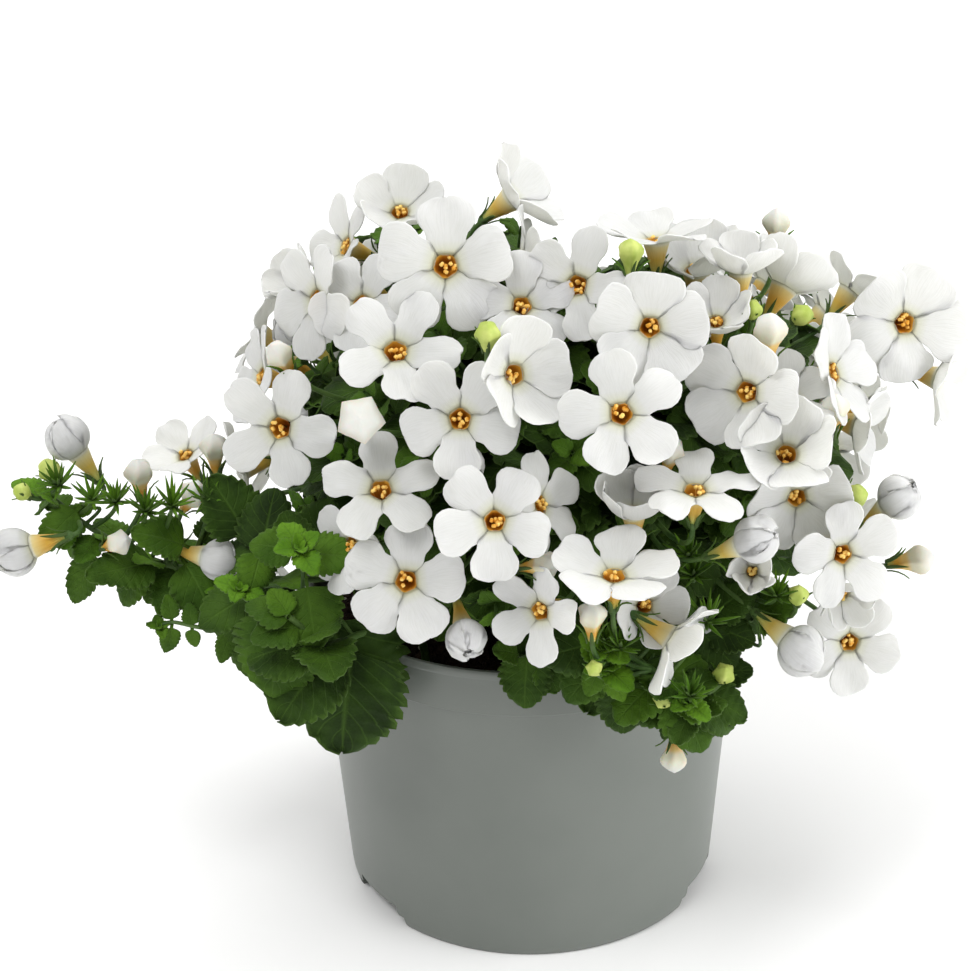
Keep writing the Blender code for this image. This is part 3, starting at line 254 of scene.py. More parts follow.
for degrees in NOTCH_ANGLES:
    shape = bmesh.new()
    bmesh.ops.create_cube(shape, size=1.0)
    for vertex in shape.verts:
        vertex.co = Vector((NOTCH_RING + NOTCH_SIZE[0] * vertex.co.x, NOTCH_SIZE[1] * vertex.co.y,
                            NOTCH_SIZE[2] * vertex.co.z))
    corners = [edge for edge in shape.edges
               if all(v.co.z > 0 for v in edge.verts)
               and abs(edge.verts[0].co.y - edge.verts[1].co.y) < MM]
    bmesh.ops.bevel(shape, geom=corners, offset=NOTCH_CORNER, segments=5, affect="EDGES")
    cutter = solid_of("notch", shape)
    cutter.rotation_euler.z = math.radians(degrees)
    pot_cutters.append(cutter)
for degrees in DRAIN_ANGLES:
    drill = lathe("drain", [(0.0, 10 * MM), (DRAIN_RADIUS, 10 * MM), (DRAIN_RADIUS, 3 * MM),
                            (0.0, 3 * MM)], DRAIN_SIDES)
    drill.location = (DRAIN_RING * math.cos(math.radians(degrees)),
                      DRAIN_RING * math.sin(math.radians(degrees)), 0)
    pot_cutters.append(drill)
cut_away(pot, pot_cutters)
pot.data.shade_smooth()
pot.data.set_sharp_from_angle(angle=math.radians(32))

pot.data.materials.append(mottled_finish(
    "matt_grey_plastic", (2600.0, 26.0), [(0.3, (0.132, 0.147, 0.131)), (0.7, (0.149, 0.164, 0.147))],
    (0.10, 0.2 * MM), (0.30, 0.42), Specular_IOR_Level=0.55))
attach(pot, "root")
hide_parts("pot")


# Soil
# Dark, moist peat potting soil that fills the pot to just under the lip. Its surface is loose crumbs,
# small clods and a few pale grains, and the stems come out of it.
SOIL_EDGE = 78.0 * MM
SOIL_CROWN = 81.2 * MM
SOIL_RADIUS = 54.6 * MM
SOIL_RINGS = 46
SOIL_SIDES = 150
CRUMBS = 1500
PALE_GRAINS = 60
CRUMB_FACES = 20
UNEVEN = 0.45 * MM              # how far the soil's surface strays up or down
SWELL = 0.55 * MM               # the height of its slow swells


def soil_height(x, y, share):
    """The height of the soil's surface at a share of its radius."""
    height = SOIL_CROWN - (SOIL_CROWN - SOIL_EDGE) * share ** 2.4
    return height + SWELL * math.sin(x / (9 * MM)) * math.cos(y / (7 * MM) + 0.6)


def crumb(draw, size):
    """One irregular crumb: points and triangles about its middle."""
    shape = bmesh.new()
    bmesh.ops.create_icosphere(shape, subdivisions=1, radius=size)
    stretch = Vector([draw.uniform(0.6, 1.25) for _ in range(3)])
    points = [Vector((v.co.x * stretch.x, v.co.y * stretch.y, v.co.z * stretch.z * 0.8))
              * draw.uniform(0.72, 1.18) for v in shape.verts]
    faces = [[v.index for v in face.verts] for face in shape.faces]
    shape.free()
    return points, faces


draw = random.Random(3)
soil_points = []
soil_faces = []
for ring in range(SOIL_RINGS + 1):
    for side in range(SOIL_SIDES):
        share = ring / SOIL_RINGS
        turn = 2 * math.pi * side / SOIL_SIDES
        x = SOIL_RADIUS * share * math.cos(turn)
        y = SOIL_RADIUS * share * math.sin(turn)
        uneven = draw.uniform(-UNEVEN, UNEVEN) * (0 < ring < SOIL_RINGS)
        soil_points.append((x, y, soil_height(x, y, share) + uneven))
for radius, height in ((SOIL_RADIUS, SOIL_EDGE - 3 * MM), (50.0 * MM, FLOOR_TOP + 0.5 * MM),
                       (CENTRE_RADIUS + 2.2 * MM, FLOOR_TOP + 0.5 * MM),
                       (CENTRE_RADIUS + 0.2 * MM, 2.0 * MM), (0.0, 2.0 * MM)):
    for side in range(SOIL_SIDES):
        turn = 2 * math.pi * side / SOIL_SIDES
        soil_points.append((radius * math.cos(turn), radius * math.sin(turn), height))
for ring in range(SOIL_RINGS + 5):
    for side in range(SOIL_SIDES):
        a = ring * SOIL_SIDES + side
        b = ring * SOIL_SIDES + (side + 1) % SOIL_SIDES
        soil_faces.append((a, a + SOIL_SIDES, b + SOIL_SIDES, b))
for number in range(CRUMBS + PALE_GRAINS):
    share = math.sqrt(draw.random()) * 0.985
    turn = draw.uniform(0, 2 * math.pi)
    x = SOIL_RADIUS * share * math.cos(turn)
    y = SOIL_RADIUS * share * math.sin(turn)
    size = draw.uniform(0.5, 1.5 if number < CRUMBS else 0.9) * MM
    points, faces = crumb(draw, size)
    start = len(soil_points)
    place = Vector((x, y, soil_height(x, y, share) + 0.2 * size))
    soil_points += [point + place for point in points]
    soil_faces += [[start + i for i in face] for face in faces]
soil_mesh = bpy.data.meshes.new("potting_soil")
soil_mesh.from_pydata([tuple(p) for p in soil_points], [], soil_faces)
shape = bmesh.new()
shape.from_mesh(soil_mesh)
bmesh.ops.remove_doubles(shape, verts=[v for v in shape.verts if v.co.xy.length < 1e-7], dist=1e-6)
bmesh.ops.recalc_face_normals(shape, faces=shape.faces)
shape.to_mesh(soil_mesh)
shape.free()
soil = placed("potting_soil", soil_mesh)

soil_mesh.materials.append(mottled_finish(
    "moist_peat", (1500.0, 260.0),
    [(0.30, (0.010, 0.006, 0.004)), (0.52, (0.030, 0.018, 0.011)), (0.75, (0.070, 0.045, 0.028))],
    (0.9, 0.6 * MM), Roughness=0.93, Specular_IOR_Level=0.25))
soil_mesh.materials.append(mottled_finish(
    "pale_soil_grain", (2000.0, 400.0), [(0.3, (0.42, 0.39, 0.33)), (0.7, (0.66, 0.63, 0.57))],
    (0.6, 0.4 * MM), Roughness=0.85))
pale_from = len(soil_mesh.polygons) - PALE_GRAINS * CRUMB_FACES
for polygon in soil_mesh.polygons:
    polygon.material_index = int(polygon.index >= pale_from)
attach(soil, "root")
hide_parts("soil")


# Blooms
# Each bloom is one white corolla: five rounded, overlapping lobes on a short tube that runs from
# cream through orange, with an orange throat that darkens to brown deeper in, partly painted shade, and
# golden anthers. It grows out of its calyx.
GOLDEN_TURN = math.pi * (3 - math.sqrt(5))
LOBES = 5
LOBE_STEP = 2 * math.pi / LOBES
LOBE_HALF_ANGLE = math.radians(34.5)
THROAT = 0.17
LOBE_CENTRE = 0.68
LOBE_LENGTH = 0.32
LOBE_PLACES = (0.12, 0.20, 0.28, 0.34, 0.40, 0.48, 0.58, 0.68)
LOBE_HALVES = (0.120, 0.176, 0.238, 0.266, 0.270, 0.296, 0.350, 0.378)
LOBE_COLUMNS = 10
TUBE_LENGTH = 9.0 * MM
TUBE_SIDES = 14
# The tube's outside from its foot to the mouth, and the throat's inside: radius and height, as
# shares of the mouth's outer or inner radius and of the tube's length.
TUBE_FOOT = ((1.1 * MM, -1.0), (1.2 * MM, -0.88))
TUBE_OUTSIDE = ((0.48, -0.70), (0.62, -0.50), (0.78, -0.28), (0.92, -0.10), (0.98, -0.02), (1.0, 0.02))
THROAT_INSIDE = ((1.01, 0.035), (0.90, -0.07), (0.74, -0.22), (0.5, -0.46))
THROAT_END = (0.3 * MM, -0.52)
TUBE_WALL = 0.85 * MM
ANTHERS = 7
ANTHER_SIDES = 7
ANTHER_STEPS = (-1.0, -0.6, 0.0, 0.6, 1.0)
ANTHER_RADII = (0.05 * MM, 0.54 * MM, 0.46 * MM, 0.50 * MM, 0.05 * MM)
FILAMENT_RADIUS = 0.16 * MM
OPEN_RISE = (math.radians(26), math.radians(-14))
SHUT_RISE = (math.radians(20), math.radians(160))
FOLDED_RISE = (math.radians(24), math.radians(186))
FOLDED_BELOW = 0.35             # a bloom less open than this is still folded into a round balloon
FOLDED_SIZE = 1.22              # its lobes are drawn this much longer, so that it keeps its width
HEART_LEVELS = (0.0, 0.06, 0.18, 0.30, 0.42, 0.50, 0.53)        # the furled lobes inside it
HEART_RADII = (0.10, 0.19, 0.27, 0.28, 0.21, 0.11, 0.005)
PETAL_THICKNESS = 0.32 * MM
# Each bloom's facing (degrees right of the front, degrees up), turn, radius in mm, openness and the
# breadth of its lobes: broad ones overlap into a wavy disc or a bowl.
BLOOMS = {
    "bloom_01": (2, 24, 0, 17.5, 1.0, 1.10), "bloom_02": (0, 20, 4, 14.6, 0.84, 1.38),
    "bloom_03": (-3, 32, -16, 15.5, 0.95, 0.96), "bloom_04": (3, 30, 36, 15.0, 0.95, 0.98),
    "bloom_05": (-4, 26, 8, 15.8, 0.95, 1.06), "bloom_06": (0, 26, 36, 15.5, 0.97, 1.02),
    "bloom_07": (4, 50, 30, 16.5, 0.9, 0.84), "bloom_08": (-14, 20, 20, 16.0, 0.88, 0.88),
    "bloom_09": (4, 80, 10, 16.0, 0.82, 1.12), "bloom_10": (-4, 50, 20, 15.5, 0.52, 1.30),
    "bloom_11": (16, 18, 36, 16.5, 0.92, 1.34), "bloom_12": (-26, 16, 10, 15.5, 0.72, 1.26),
    "bloom_13": (4, 80, 6, 15.5, 0.95, 0.86), "bloom_14": (22, 14, 0, 14.5, 0.9, 0.98),
    "bloom_15": (8, 8, 36, 14.5, 0.95, 1.02), "bloom_16": (34, 22, 20, 15.5, 0.56, 1.30),
    "bloom_17": (-4, 52, -6, 15.5, 0.95, 0.84), "bloom_18": (0, 62, 10, 14.0, 0.6, 1.25),
    "bloom_19": (-34, 12, 12, 13.5, 0.8, 0.88), "bloom_20": (70, -28, 20, 14.5, 0.72, 1.05),
    "bloom_21": (6, 0, 6, 14.0, 0.78, 1.34), "bloom_22": (-14, 80, 20, 13.5, 0.37, 1.38),
    "bloom_23": (62, 30, 10, 13.0, 0.24, 1.30), "bloom_24": (52, -24, 10, 14.5, 0.3, 1.30),
    "bloom_25": (0, 62, 0, 12.0, 0.34, 1.30), "bloom_26": (10, -16, 24, 11.5, 0.28, 1.20),
    "bloom_27": (6, 96, 0, 15.5, 0.86, 1.10), "bloom_28": (80, 40, 16, 15.5, 0.62, 1.25),
    "bloom_29": (-22, 30, 16, 15.0, 0.92, 0.92), "bloom_30": (-70, 28, 20, 14.5, 0.86, 0.95),
    "bloom_31": (-52, 16, 20, 15.5, 0.88, 1.05), "bloom_32": (-70, 44, 0, 12.0, 0.42, 1.20),
    "bloom_33": (-74, 22, 10, 14.0, 0.88, 1.10), "bloom_34": (-96, 28, 20, 13.0, 0.9, 1.10),
    "bloom_35": (-10, 84, 10, 17.0, 0.52, 1.35), "bloom_36": (-14, 96, 0, 13.0, 0.5, 1.25),
    "bloom_37": (128, 48, 0, 16.0, 0.42, 1.25), "bloom_38": (118, 46, 0, 14.0, 0.7, 1.00),
    "bloom_39": (64, 24, 30, 15.5, 0.8, 1.15), "bloom_40": (66, -8, 0, 13.5, 0.7, 1.10),
    "bloom_41": (4, 60, 0, 14.0, 0.9, 1.00), "bloom_42": (62, -6, 14, 14.0, 0.8, 1.10),
    "bloom_43": (76, 46, 0, 13.5, 0.26, 1.30), "bloom_44": (-50, 22, 10, 13.0, 0.9, 1.00),
    "bloom_45": (58, 22, 10, 13.5, 0.85, 1.00), "bloom_46": (98, 12, 10, 14.5, 0.8, 1.20),
    "bloom_47": (-96, 58, 0, 14.0, 0.2, 1.30), "bloom_48": (-88, -16, 20, 14.5, 0.2, 1.30),
    "bloom_49": (66, -2, 0, 13.0, 0.24, 1.30), "bloom_50": (-50, 64, 0, 12.5, 0.7, 1.00),
}
# Blooms that sit a little beside their solids (mm), as their lobes do in the photograph.
NUDGED = {"bloom_16": (5, 0, 0), "bloom_22": (2, 0, -1.5)}


def mixed_colour(tree, share, first, second, blend="MIX"):
    """Two colours mixed by share; each is a socket or a plain linear colour."""
    made = tree.nodes.new("ShaderNodeMix")
    made.data_type = "RGBA"
    made.blend_type = blend
    for socket, value in ((0, share), (6, first), (7, second)):
        if isinstance(value, bpy.types.NodeSocket):
            tree.links.new(value, made.inputs[socket])
        else:
            made.inputs[socket].default_value = value if socket == 0 else (*value, 1.0)
    return made.outputs[2]


def grid_quads(rows, columns, closed=False):
    """Quads of a grid of points, rows by columns; a closed grid joins its last column to its first."""
    across = np.arange(columns if closed else columns - 1)
    start = np.arange(rows - 1)[:, None] * columns
    a = start + across[None, :]
    b = start + (across[None, :] + 1) % columns
    return np.stack([a, b, b + columns, a + columns], -1).reshape(-1, 4)


def thick_sheet(surface, thickness):
    """A closed thin sheet about a grid: its points, quads, and 0 above or 1 below for each point."""
    rows, columns, _ = surface.shape
    normal = np.cross(np.gradient(surface, axis=1), np.gradient(surface, axis=0))
    normal /= np.linalg.norm(normal, axis=-1, keepdims=True) + 1e-12
    over = (surface + normal * thickness / 2).reshape(-1, 3)
    under = (surface - normal * thickness / 2).reshape(-1, 3)
    count = rows * columns
    faces = grid_quads(rows, columns)
    index = np.arange(count).reshape(rows, columns)
    loop = np.concatenate([index[0, :-1], index[:-1, -1], index[-1, :0:-1], index[:0:-1, 0]])
    after = np.roll(loop, -1)
    rim = np.stack([loop + count, after + count, after, loop], -1)
    quads = np.concatenate([faces, faces[:, ::-1] + count, rim])
    side = np.repeat([0.0, 1.0], count)
    return np.concatenate([over, under]), quads, side


def shape_tree(points, quads):
    """A tree of a shape for tests of what crosses it."""
    return BVHTree.FromPolygons(points.tolist(), quads.tolist())


def unit(vector):
    """The direction of a vector, at length one."""
    return np.asarray(vector, float) / np.linalg.norm(vector)


class Growth:
    """Gathers sheets and tubes that become one piece, with a growth map (across, along) and a tint."""

    def __init__(self):
        self.points = []
        self.quads = []
        self.maps = []
        self.tints = []
        self.slots = []
        self.count = 0

    def add(self, points, quads, mapping, tint, slot=0):
        self.points.append(points)
        self.quads.append(quads + self.count)
        self.maps.append(mapping)
        self.tints.append(tint)
        self.slots.append(np.full(len(quads), slot))
        self.count += len(points)

    def take(self, other, slots_on=0):
        """Adds all that another growth holds, with its finishes that many slots on."""
        self.points += other.points
        self.quads += [quads + self.count for quads in other.quads]
        self.maps += other.maps
        self.tints += other.tints
        self.slots += [slots + slots_on for slots in other.slots]
        self.count += other.count

    def sheet(self, surface, mapping, thickness, tone, slot=0):
        """Adds a thin closed sheet; tint holds its tone and which side a point is on."""
        points, quads, side = thick_sheet(surface, thickness)
        flat = mapping.reshape(-1, 2)
        tint = np.stack([np.full(len(side), tone), side, np.zeros(len(side)), np.ones(len(side))], -1)
        self.add(points, quads, np.concatenate([flat, flat]), tint, slot)

    def tube(self, route, radii, sides, tone, slot=0, low=0.0, high=1.0):
        """Adds a round stem along a route, with a radius for each of its points."""
        route = np.asarray(route, float)
        ahead = np.gradient(route, axis=0)
        ahead /= np.linalg.norm(ahead, axis=1, keepdims=True) + 1e-12
        across = np.cross(ahead[0], [0.0, 0.0, 1.0] if abs(ahead[0][2]) < 0.9 else [1.0, 0.0, 0.0])
        turns = 2 * math.pi * np.arange(sides) / sides
        rings = []
        for place, way, radius in zip(route, ahead, radii):
            across = across - way * np.dot(across, way)
            across /= np.linalg.norm(across)
            other = np.cross(way, across)
            rings.append(place + radius * (np.cos(turns)[:, None] * across
                                           + np.sin(turns)[:, None] * other))
        points = np.concatenate(rings)
        along = np.repeat(np.linspace(low, high, len(route)), sides)
        mapping = np.stack([np.tile(np.arange(sides) / sides, len(route)), along], -1)
        tint = np.tile([tone, 0.0, 0.0, 1.0], (len(points), 1))
        self.add(points, grid_quads(len(route), sides, True), mapping, tint, slot)

    def piece(self, name, finishes, nodes, slot):
        """Makes the gathered shapes one smooth object that stands for its solids."""
        points = np.concatenate(self.points)
        quads = np.concatenate(self.quads)
        mesh = bpy.data.meshes.new(name)
        mesh.from_pydata(points.tolist(), [], quads.tolist())
        corners = quads.reshape(-1)
        layer = mesh.uv_layers.new(name="Growth")
        layer.data.foreach_set("uv", np.concatenate(self.maps)[corners].astype(np.float32).ravel())
        tint = mesh.color_attributes.new("Tint", "FLOAT_COLOR", "POINT")
        tint.data.foreach_set("color", np.concatenate(self.tints).astype(np.float32).ravel())
        mesh.polygons.foreach_set("material_index", np.concatenate(self.slots).astype(np.int32))
        for finish in finishes:
            mesh.materials.append(finish)
        mesh.shade_smooth()
        mesh.update()
        made = placed(name, mesh)
        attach(made, "root")
        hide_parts(*nodes)

    def shape(self):
        """The gathered shapes as a tree that others are kept clear of."""
        return shape_tree(np.concatenate(self.points), np.concatenate(self.quads))


def facing(yaw, tilt):
    """The direction that is yaw degrees to the right of the front and tilt degrees up."""
    turn = math.radians(yaw)
    rise = math.radians(tilt)
    return Vector((math.sin(turn) * math.cos(rise), -math.cos(turn) * math.cos(rise),
                   math.sin(rise)))


def turn_to(front, roll):
    """The rotation that puts +Z along front and +Y as near upright as it goes, then rolled."""
    upright = Vector((0, 0, 1)) if abs(front.z) < 0.985 else Vector((0, 1, 0))
    up = (upright - front * upright.dot(front)).normalized()
    right = up.cross(front)
    turn = Matrix((right, up, front)).transposed() @ Matrix.Rotation(-math.radians(roll), 3, "Z")
    return np.array(turn)


def lobe_surface(radius, opening, folded, turn, full, draw):
    """The grid of one lobe about the throat, and its growth map: 0 at the throat, 1 at the tip."""
    reach = np.concatenate([np.linspace(THROAT - 0.02, LOBE_CENTRE, 9)[:-1],
                            LOBE_CENTRE + LOBE_LENGTH * np.sin(np.radians([0, 20, 39, 55, 68, 79, 88]))])
    slim = draw.uniform(0.90, 1.0)
    half = np.interp(reach, LOBE_PLACES, LOBE_HALVES)
    waist = slim + (1 - slim) * np.abs(reach - 0.49) / 0.13
    half = np.where((reach > 0.36) & (reach < 0.62), half * waist, half)
    blunt = draw.uniform(2.1, 3.2) + 5 * max(full - 1, 0)
    end = 1 - (np.maximum(reach - LOBE_CENTRE, 0) / LOBE_LENGTH) ** blunt
    half = half * (1 + (full - 1) * np.clip((reach - 0.34) / 0.2, 0, 1))
    half = np.maximum(half * np.sqrt(np.clip(end, 0, 1)) * draw.uniform(0.95, 1.05), 0.02)
    v = np.sin(np.radians(np.linspace(-90, 90, LOBE_COLUMNS)))[None, :]
    q = v * (half / half.max())[:, None]
    share = (reach - THROAT) / (1 - THROAT)
    ramp = np.clip(share, 0, 1)[:, None]
    low = SHUT_RISE[0] + (OPEN_RISE[0] - SHUT_RISE[0]) * opening
    high = SHUT_RISE[1] + (OPEN_RISE[1] - SHUT_RISE[1]) * opening + draw.uniform(-0.42, 0.26) * opening
    tilt = draw.uniform(0.06, 0.09)
    crease = draw.uniform(0.02, 0.07)
    curl = draw.uniform(-0.16, 0.08)
    if folded:
        low, high = FOLDED_RISE[0], FOLDED_RISE[1] + draw.uniform(-0.30, 0.05)
        tilt, crease, curl = 0.02, 0.0, 0.02
    length = (1 - THROAT) * radius * draw.uniform(0.92, 1.04)
    dent = (draw.uniform(-0.015, 0.045) * np.exp(-(q / 0.25) ** 2) + draw.uniform(-0.05, 0.05) * q
            + 0.012 * np.sin(8 * q + draw.uniform(0, 6)))
    rise = low + (high - low) * (share[:, None] - dent * ramp ** 4)
    away = THROAT * radius + length * (np.sin(rise) - math.sin(low)) / (high - low)
    away = np.maximum(away, 0.6 * MM)
    height = length * (math.cos(low) - np.cos(rise)) / (high - low)
    edge_wave = draw.uniform(0.015, 0.040) * np.sin(draw.uniform(3.0, 5.5) * q + 6 * ramp
                                                   + draw.uniform(0, 6))
    frill = 0.010 * np.sin(10 * q + 9 * ramp + draw.uniform(0, 6)) * q ** 2
    lift = radius * ((tilt * q + edge_wave + frill) * ramp
                     + curl * q ** 2 * ramp ** 2
                     - crease * np.exp(-(q / 0.22) ** 2) * ramp * (1 - ramp))
    wrap = min(1.0, 1.6 * (1 - opening))
    across = v * half[:, None] * radius / (away * math.tan(LOBE_HALF_ANGLE))
    across = np.clip(across, -1.08 - 0.4 * ramp, 1.08 + 0.4 * ramp) * wrap + across * (1 - wrap)
    along = away - lift * np.sin(rise)
    flat = across * away * math.tan(LOBE_HALF_ANGLE)
    around = across * LOBE_HALF_ANGLE
    out = along * (1 - wrap) + along * np.cos(around) * wrap
    over = flat * (1 - wrap) + along * np.sin(around) * wrap
    x = out * math.sin(turn) + over * math.cos(turn)
    y = out * math.cos(turn) - over * math.sin(turn)
    mapping = np.stack(np.broadcast_arrays(0.5 + 0.5 * v, ramp), -1)
    return np.stack([x, y, height + lift * np.cos(rise)], -1), mapping


def corolla(radius, opening, full, turn, place, draw):
    """One bloom as a Growth: lobes and tube (slot 0), throat (1) and anthers (2)."""
    growth = Growth()
    tone = draw.uniform(0.0, 1.0)
    mouth = THROAT * radius
    folded = opening < FOLDED_BELOW
    if folded:
        radius = radius * FOLDED_SIZE
        opening = 0.0
        heart = [turn @ np.array([0, 0, radius * level]) + place for level in HEART_LEVELS]
        growth.tube(heart, [radius * wide for wide in HEART_RADII], 12, tone, 0, 0.3, 0.8)
    for lobe in range(LOBES):
        lean = lobe * LOBE_STEP + draw.uniform(-0.09, 0.09)
        surface, mapping = lobe_surface(radius, opening, folded, lean, full, draw)
        growth.sheet(surface @ turn.T + place, mapping, PETAL_THICKNESS, tone)
    outside = (*TUBE_FOOT, *((wide * (mouth + TUBE_WALL), height) for wide, height in TUBE_OUTSIDE))
    inside = (*((wide * mouth, height) for wide, height in THROAT_INSIDE), THROAT_END)
    for slot, profile, low, high in ((0, outside, -1.0, 0.0), (1, inside, 0.0, 1.0)):
        route = [turn @ np.array([0, 0, height * TUBE_LENGTH]) + place for _, height in profile]
        growth.tube(route, [wide for wide, _ in profile], TUBE_SIDES, tone, slot, low, high)
    gather = np.array([draw.uniform(-0.22, 0.22), draw.uniform(-0.22, 0.22), 0]) * mouth
    for number in range(ANTHERS):
        angle = number * GOLDEN_TURN + draw.uniform(-0.5, 0.5)
        centre = np.array([math.cos(angle), math.sin(angle), 0]) * mouth * draw.uniform(0.15, 0.74)
        centre += gather
        centre[2] = draw.uniform(-0.9, 0.8) * MM
        length = draw.uniform(0.4, 0.9) * MM
        lean = unit([draw.uniform(-1, 1), draw.uniform(-1, 1), draw.uniform(-0.3, 1.2)])
        route = [turn @ (centre + lean * length * step) + place for step in ANTHER_STEPS]
        growth.tube(route, ANTHER_RADII, ANTHER_SIDES, tone, 2)
        filament = [turn @ (centre * np.array([1.1, 1.1, 0]) + np.array([0, 0, drop * MM])) + place
                    for drop in (-2.4, -1.2, centre[2] / MM)]
        growth.tube(filament, [FILAMENT_RADIUS] * 3, 5, tone, 2)
    return growth


petal, tree, shader = new_finish("white_petal", Roughness=0.55, Specular_IOR_Level=0.28,
                                 Sheen_Weight=0.08, Subsurface_Weight=0.7, Subsurface_Scale=0.0022)
shader.inputs["Subsurface Radius"].default_value = (1.0, 1.0, 0.9)
place = shader_node(tree, "ShaderNodeUVMap", uv_map="Growth")
_, along = growth_map(tree)
share = shader_node(tree, "ShaderNodeMapRange", {"Value": along, "From Min": -1.0})
white = (0.660, 0.664, 0.640)
lobe_stops = [(0.51, (0.58, 0.57, 0.38)), (0.55, (0.61, 0.62, 0.52)), (0.62, white),
              (1.0, (0.690, 0.692, 0.676))]
golden = colour_ramp(tree, share.outputs["Result"], [
    (0.0, (0.34, 0.40, 0.08)), (0.08, (0.54, 0.40, 0.06)), (0.16, (0.58, 0.28, 0.015)),
    (0.25, (0.60, 0.31, 0.025)), (0.35, (0.64, 0.47, 0.15)), (0.42, (0.66, 0.64, 0.46)),
    *lobe_stops], "LINEAR")
pale = colour_ramp(tree, share.outputs["Result"], [
    (0.0, (0.34, 0.42, 0.10)), (0.10, (0.52, 0.50, 0.13)), (0.22, (0.60, 0.44, 0.09)),
    (0.33, (0.66, 0.60, 0.32)), (0.40, (0.67, 0.66, 0.54)), *lobe_stops], "LINEAR")
bloom_tone, _ = tint_parts(tree)
tubes = mixed_colour(tree, bloom_tone, golden, pale)
_, petal_mottle = grain(tree, 900.0, 90.0)
stretch = shader_node(tree, "ShaderNodeMapping", {"Vector": place.outputs["UV"],
                                                  "Scale": (46.0, 3.0, 1.0)})
veins = shader_node(tree, "ShaderNodeTexNoise", {"Vector": stretch.outputs["Vector"], "Scale": 1.0,
                                                 "Detail": 3.0})
shade = colour_ramp(tree, petal_mottle, [(0.3, (0.93, 0.935, 0.93)), (0.7, (1.0, 1.0, 1.0))])
streaks = colour_ramp(tree, veins.outputs["Fac"], [(0.35, (0.95, 0.95, 0.94)), (0.60, (1.0, 1.0, 1.0))])
streaked = mixed_colour(tree, 1.0, tubes, streaks, "MULTIPLY")
tree.links.new(mixed_colour(tree, 1.0, streaked, shade, "MULTIPLY"), shader.inputs["Base Color"])
bump(tree, shader, veins.outputs["Fac"], 0.25, 0.0003)

throat, tree, shader = new_finish("orange_throat_with_painted_shade", Roughness=0.5, Specular_IOR_Level=0.3)
_, along = growth_map(tree)
# The throat's orange darkens to deep brown towards the tube's bottom: partly its own colour, partly painted
# shade inside the narrow tube.
tone = colour_ramp(tree, along, [(0.0, (0.62, 0.54, 0.26)), (0.12, (0.66, 0.36, 0.05)),
                                 (0.45, (0.56, 0.24, 0.018)), (1.0, (0.26, 0.085, 0.006))])
tree.links.new(tone, shader.inputs["Base Color"])
throat_grain, _ = grain(tree, 1600.0, 80.0)
bump(tree, shader, throat_grain, 0.3, 0.0002)

anther = mottled_finish("golden_anther", (3000.0, 700.0), [
    (0.38, (0.72, 0.32, 0.02)), (0.60, (0.95, 0.66, 0.18))], (0.5, 0.2 * MM), Roughness=0.6)

blooms = {}
all_blooms = Growth()
for number, (name, (yaw, tilt, roll, radius, opening, full)) in enumerate(BLOOMS.items()):
    front = facing(yaw, tilt)
    turn = turn_to(front, roll)
    size = radius * MM
    points = np.concatenate(corolla(size, opening, full, turn, np.zeros(3), random.Random(number)).points)
    low, high = (np.array(corner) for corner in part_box(name))
    place = (low + high) / 2 - (points.min(axis=0) + points.max(axis=0)) / 2
    place += np.array(NUDGED.get(name, (0, 0, 0))) * MM
    growth = corolla(size, opening, full, turn, place, random.Random(number))
    growth.piece(name + "_flower", [petal, throat, anther], [name], "petals")
    all_blooms.take(growth)
    blooms[name] = (Vector(place), front)


# Inner stems
# The plant's crowded inner stems and old leaf stalks, a lumpy mass that the leaves hide, coloured near
# black as painted shade for the deep shadow inside the plant, and the thick stems that carry it out of the
# soil.
CORE_CENTRE = np.array([10.0, 4.0, 126.0]) * MM
CORE_RADII = np.array([62.0, 56.0, 50.0]) * MM
CORE_FLOOR = 99.0 * MM
CORE_SHARE = 0.84
CROWN_STEMS = ((0, -14), (22, -4), (10, 20), (-18, 12), (-14, -20))
CROWN_STEM_RADIUS = 2.2 * MM


def smooth_route(points, steps=6):
    """A round curve through the points, in metres, as an array."""
    points = [np.asarray(point, float) for point in points]
    points = [2 * points[0] - points[1]] + points + [2 * points[-1] - points[-2]]
    places = []
    for a, b, c, d in zip(points, points[1:], points[2:], points[3:]):
        for t in np.arange(steps) / steps:
            places.append(0.5 * (2 * b + (c - a) * t + (2 * a - 5 * b + 4 * c - d) * t ** 2
                                 + (3 * b - a - 3 * c + d) * t ** 3))
    places.append(points[-2])
    return np.array(places)


stem_green = mottled_finish(
    "green_stem", (1400.0, 120.0), [(0.3, (0.035, 0.085, 0.015)), (0.7, (0.085, 0.15, 0.035))],
    (0.4, 0.3 * MM), Roughness=0.55, Specular_IOR_Level=0.3)
# Painted shade: the inner mass is coloured near black for the deep shadow inside the plant, not for its
# stems' own colour.
inner_painted_shade = mottled_finish(
    "inner_stems_painted_shade", (500.0, 150.0), [(0.35, (0.003, 0.008, 0.002)), (0.7, (0.012, 0.030, 0.006))],
    (1.0, 2 * MM), Roughness=0.9, Specular_IOR_Level=0.15)
inner = Growth()
rings = 40
sides = 60
polar = np.linspace(0.02, math.pi - 0.02, rings)[:, None]
azimuth = (2 * math.pi * np.arange(sides) / sides)[None, :]
lumps = 1 + 0.05 * np.sin(7 * azimuth + 5 * polar) * np.sin(9 * polar) + 0.04 * np.sin(
    13 * azimuth - 11 * polar)
ball = np.stack(np.broadcast_arrays(np.sin(polar) * np.cos(azimuth), np.sin(polar) * np.sin(azimuth),
                                    np.cos(polar)), -1) * lumps[..., None] * CORE_SHARE
ball = ball * CORE_RADII + CORE_CENTRE
ball[..., 2] = np.maximum(ball[..., 2], CORE_FLOOR + 2 * MM)
inner.add(ball.reshape(-1, 3), grid_quads(rings, sides, True)[:, ::-1], np.zeros((rings * sides, 2)),
          np.zeros((rings * sides, 4)), 1)
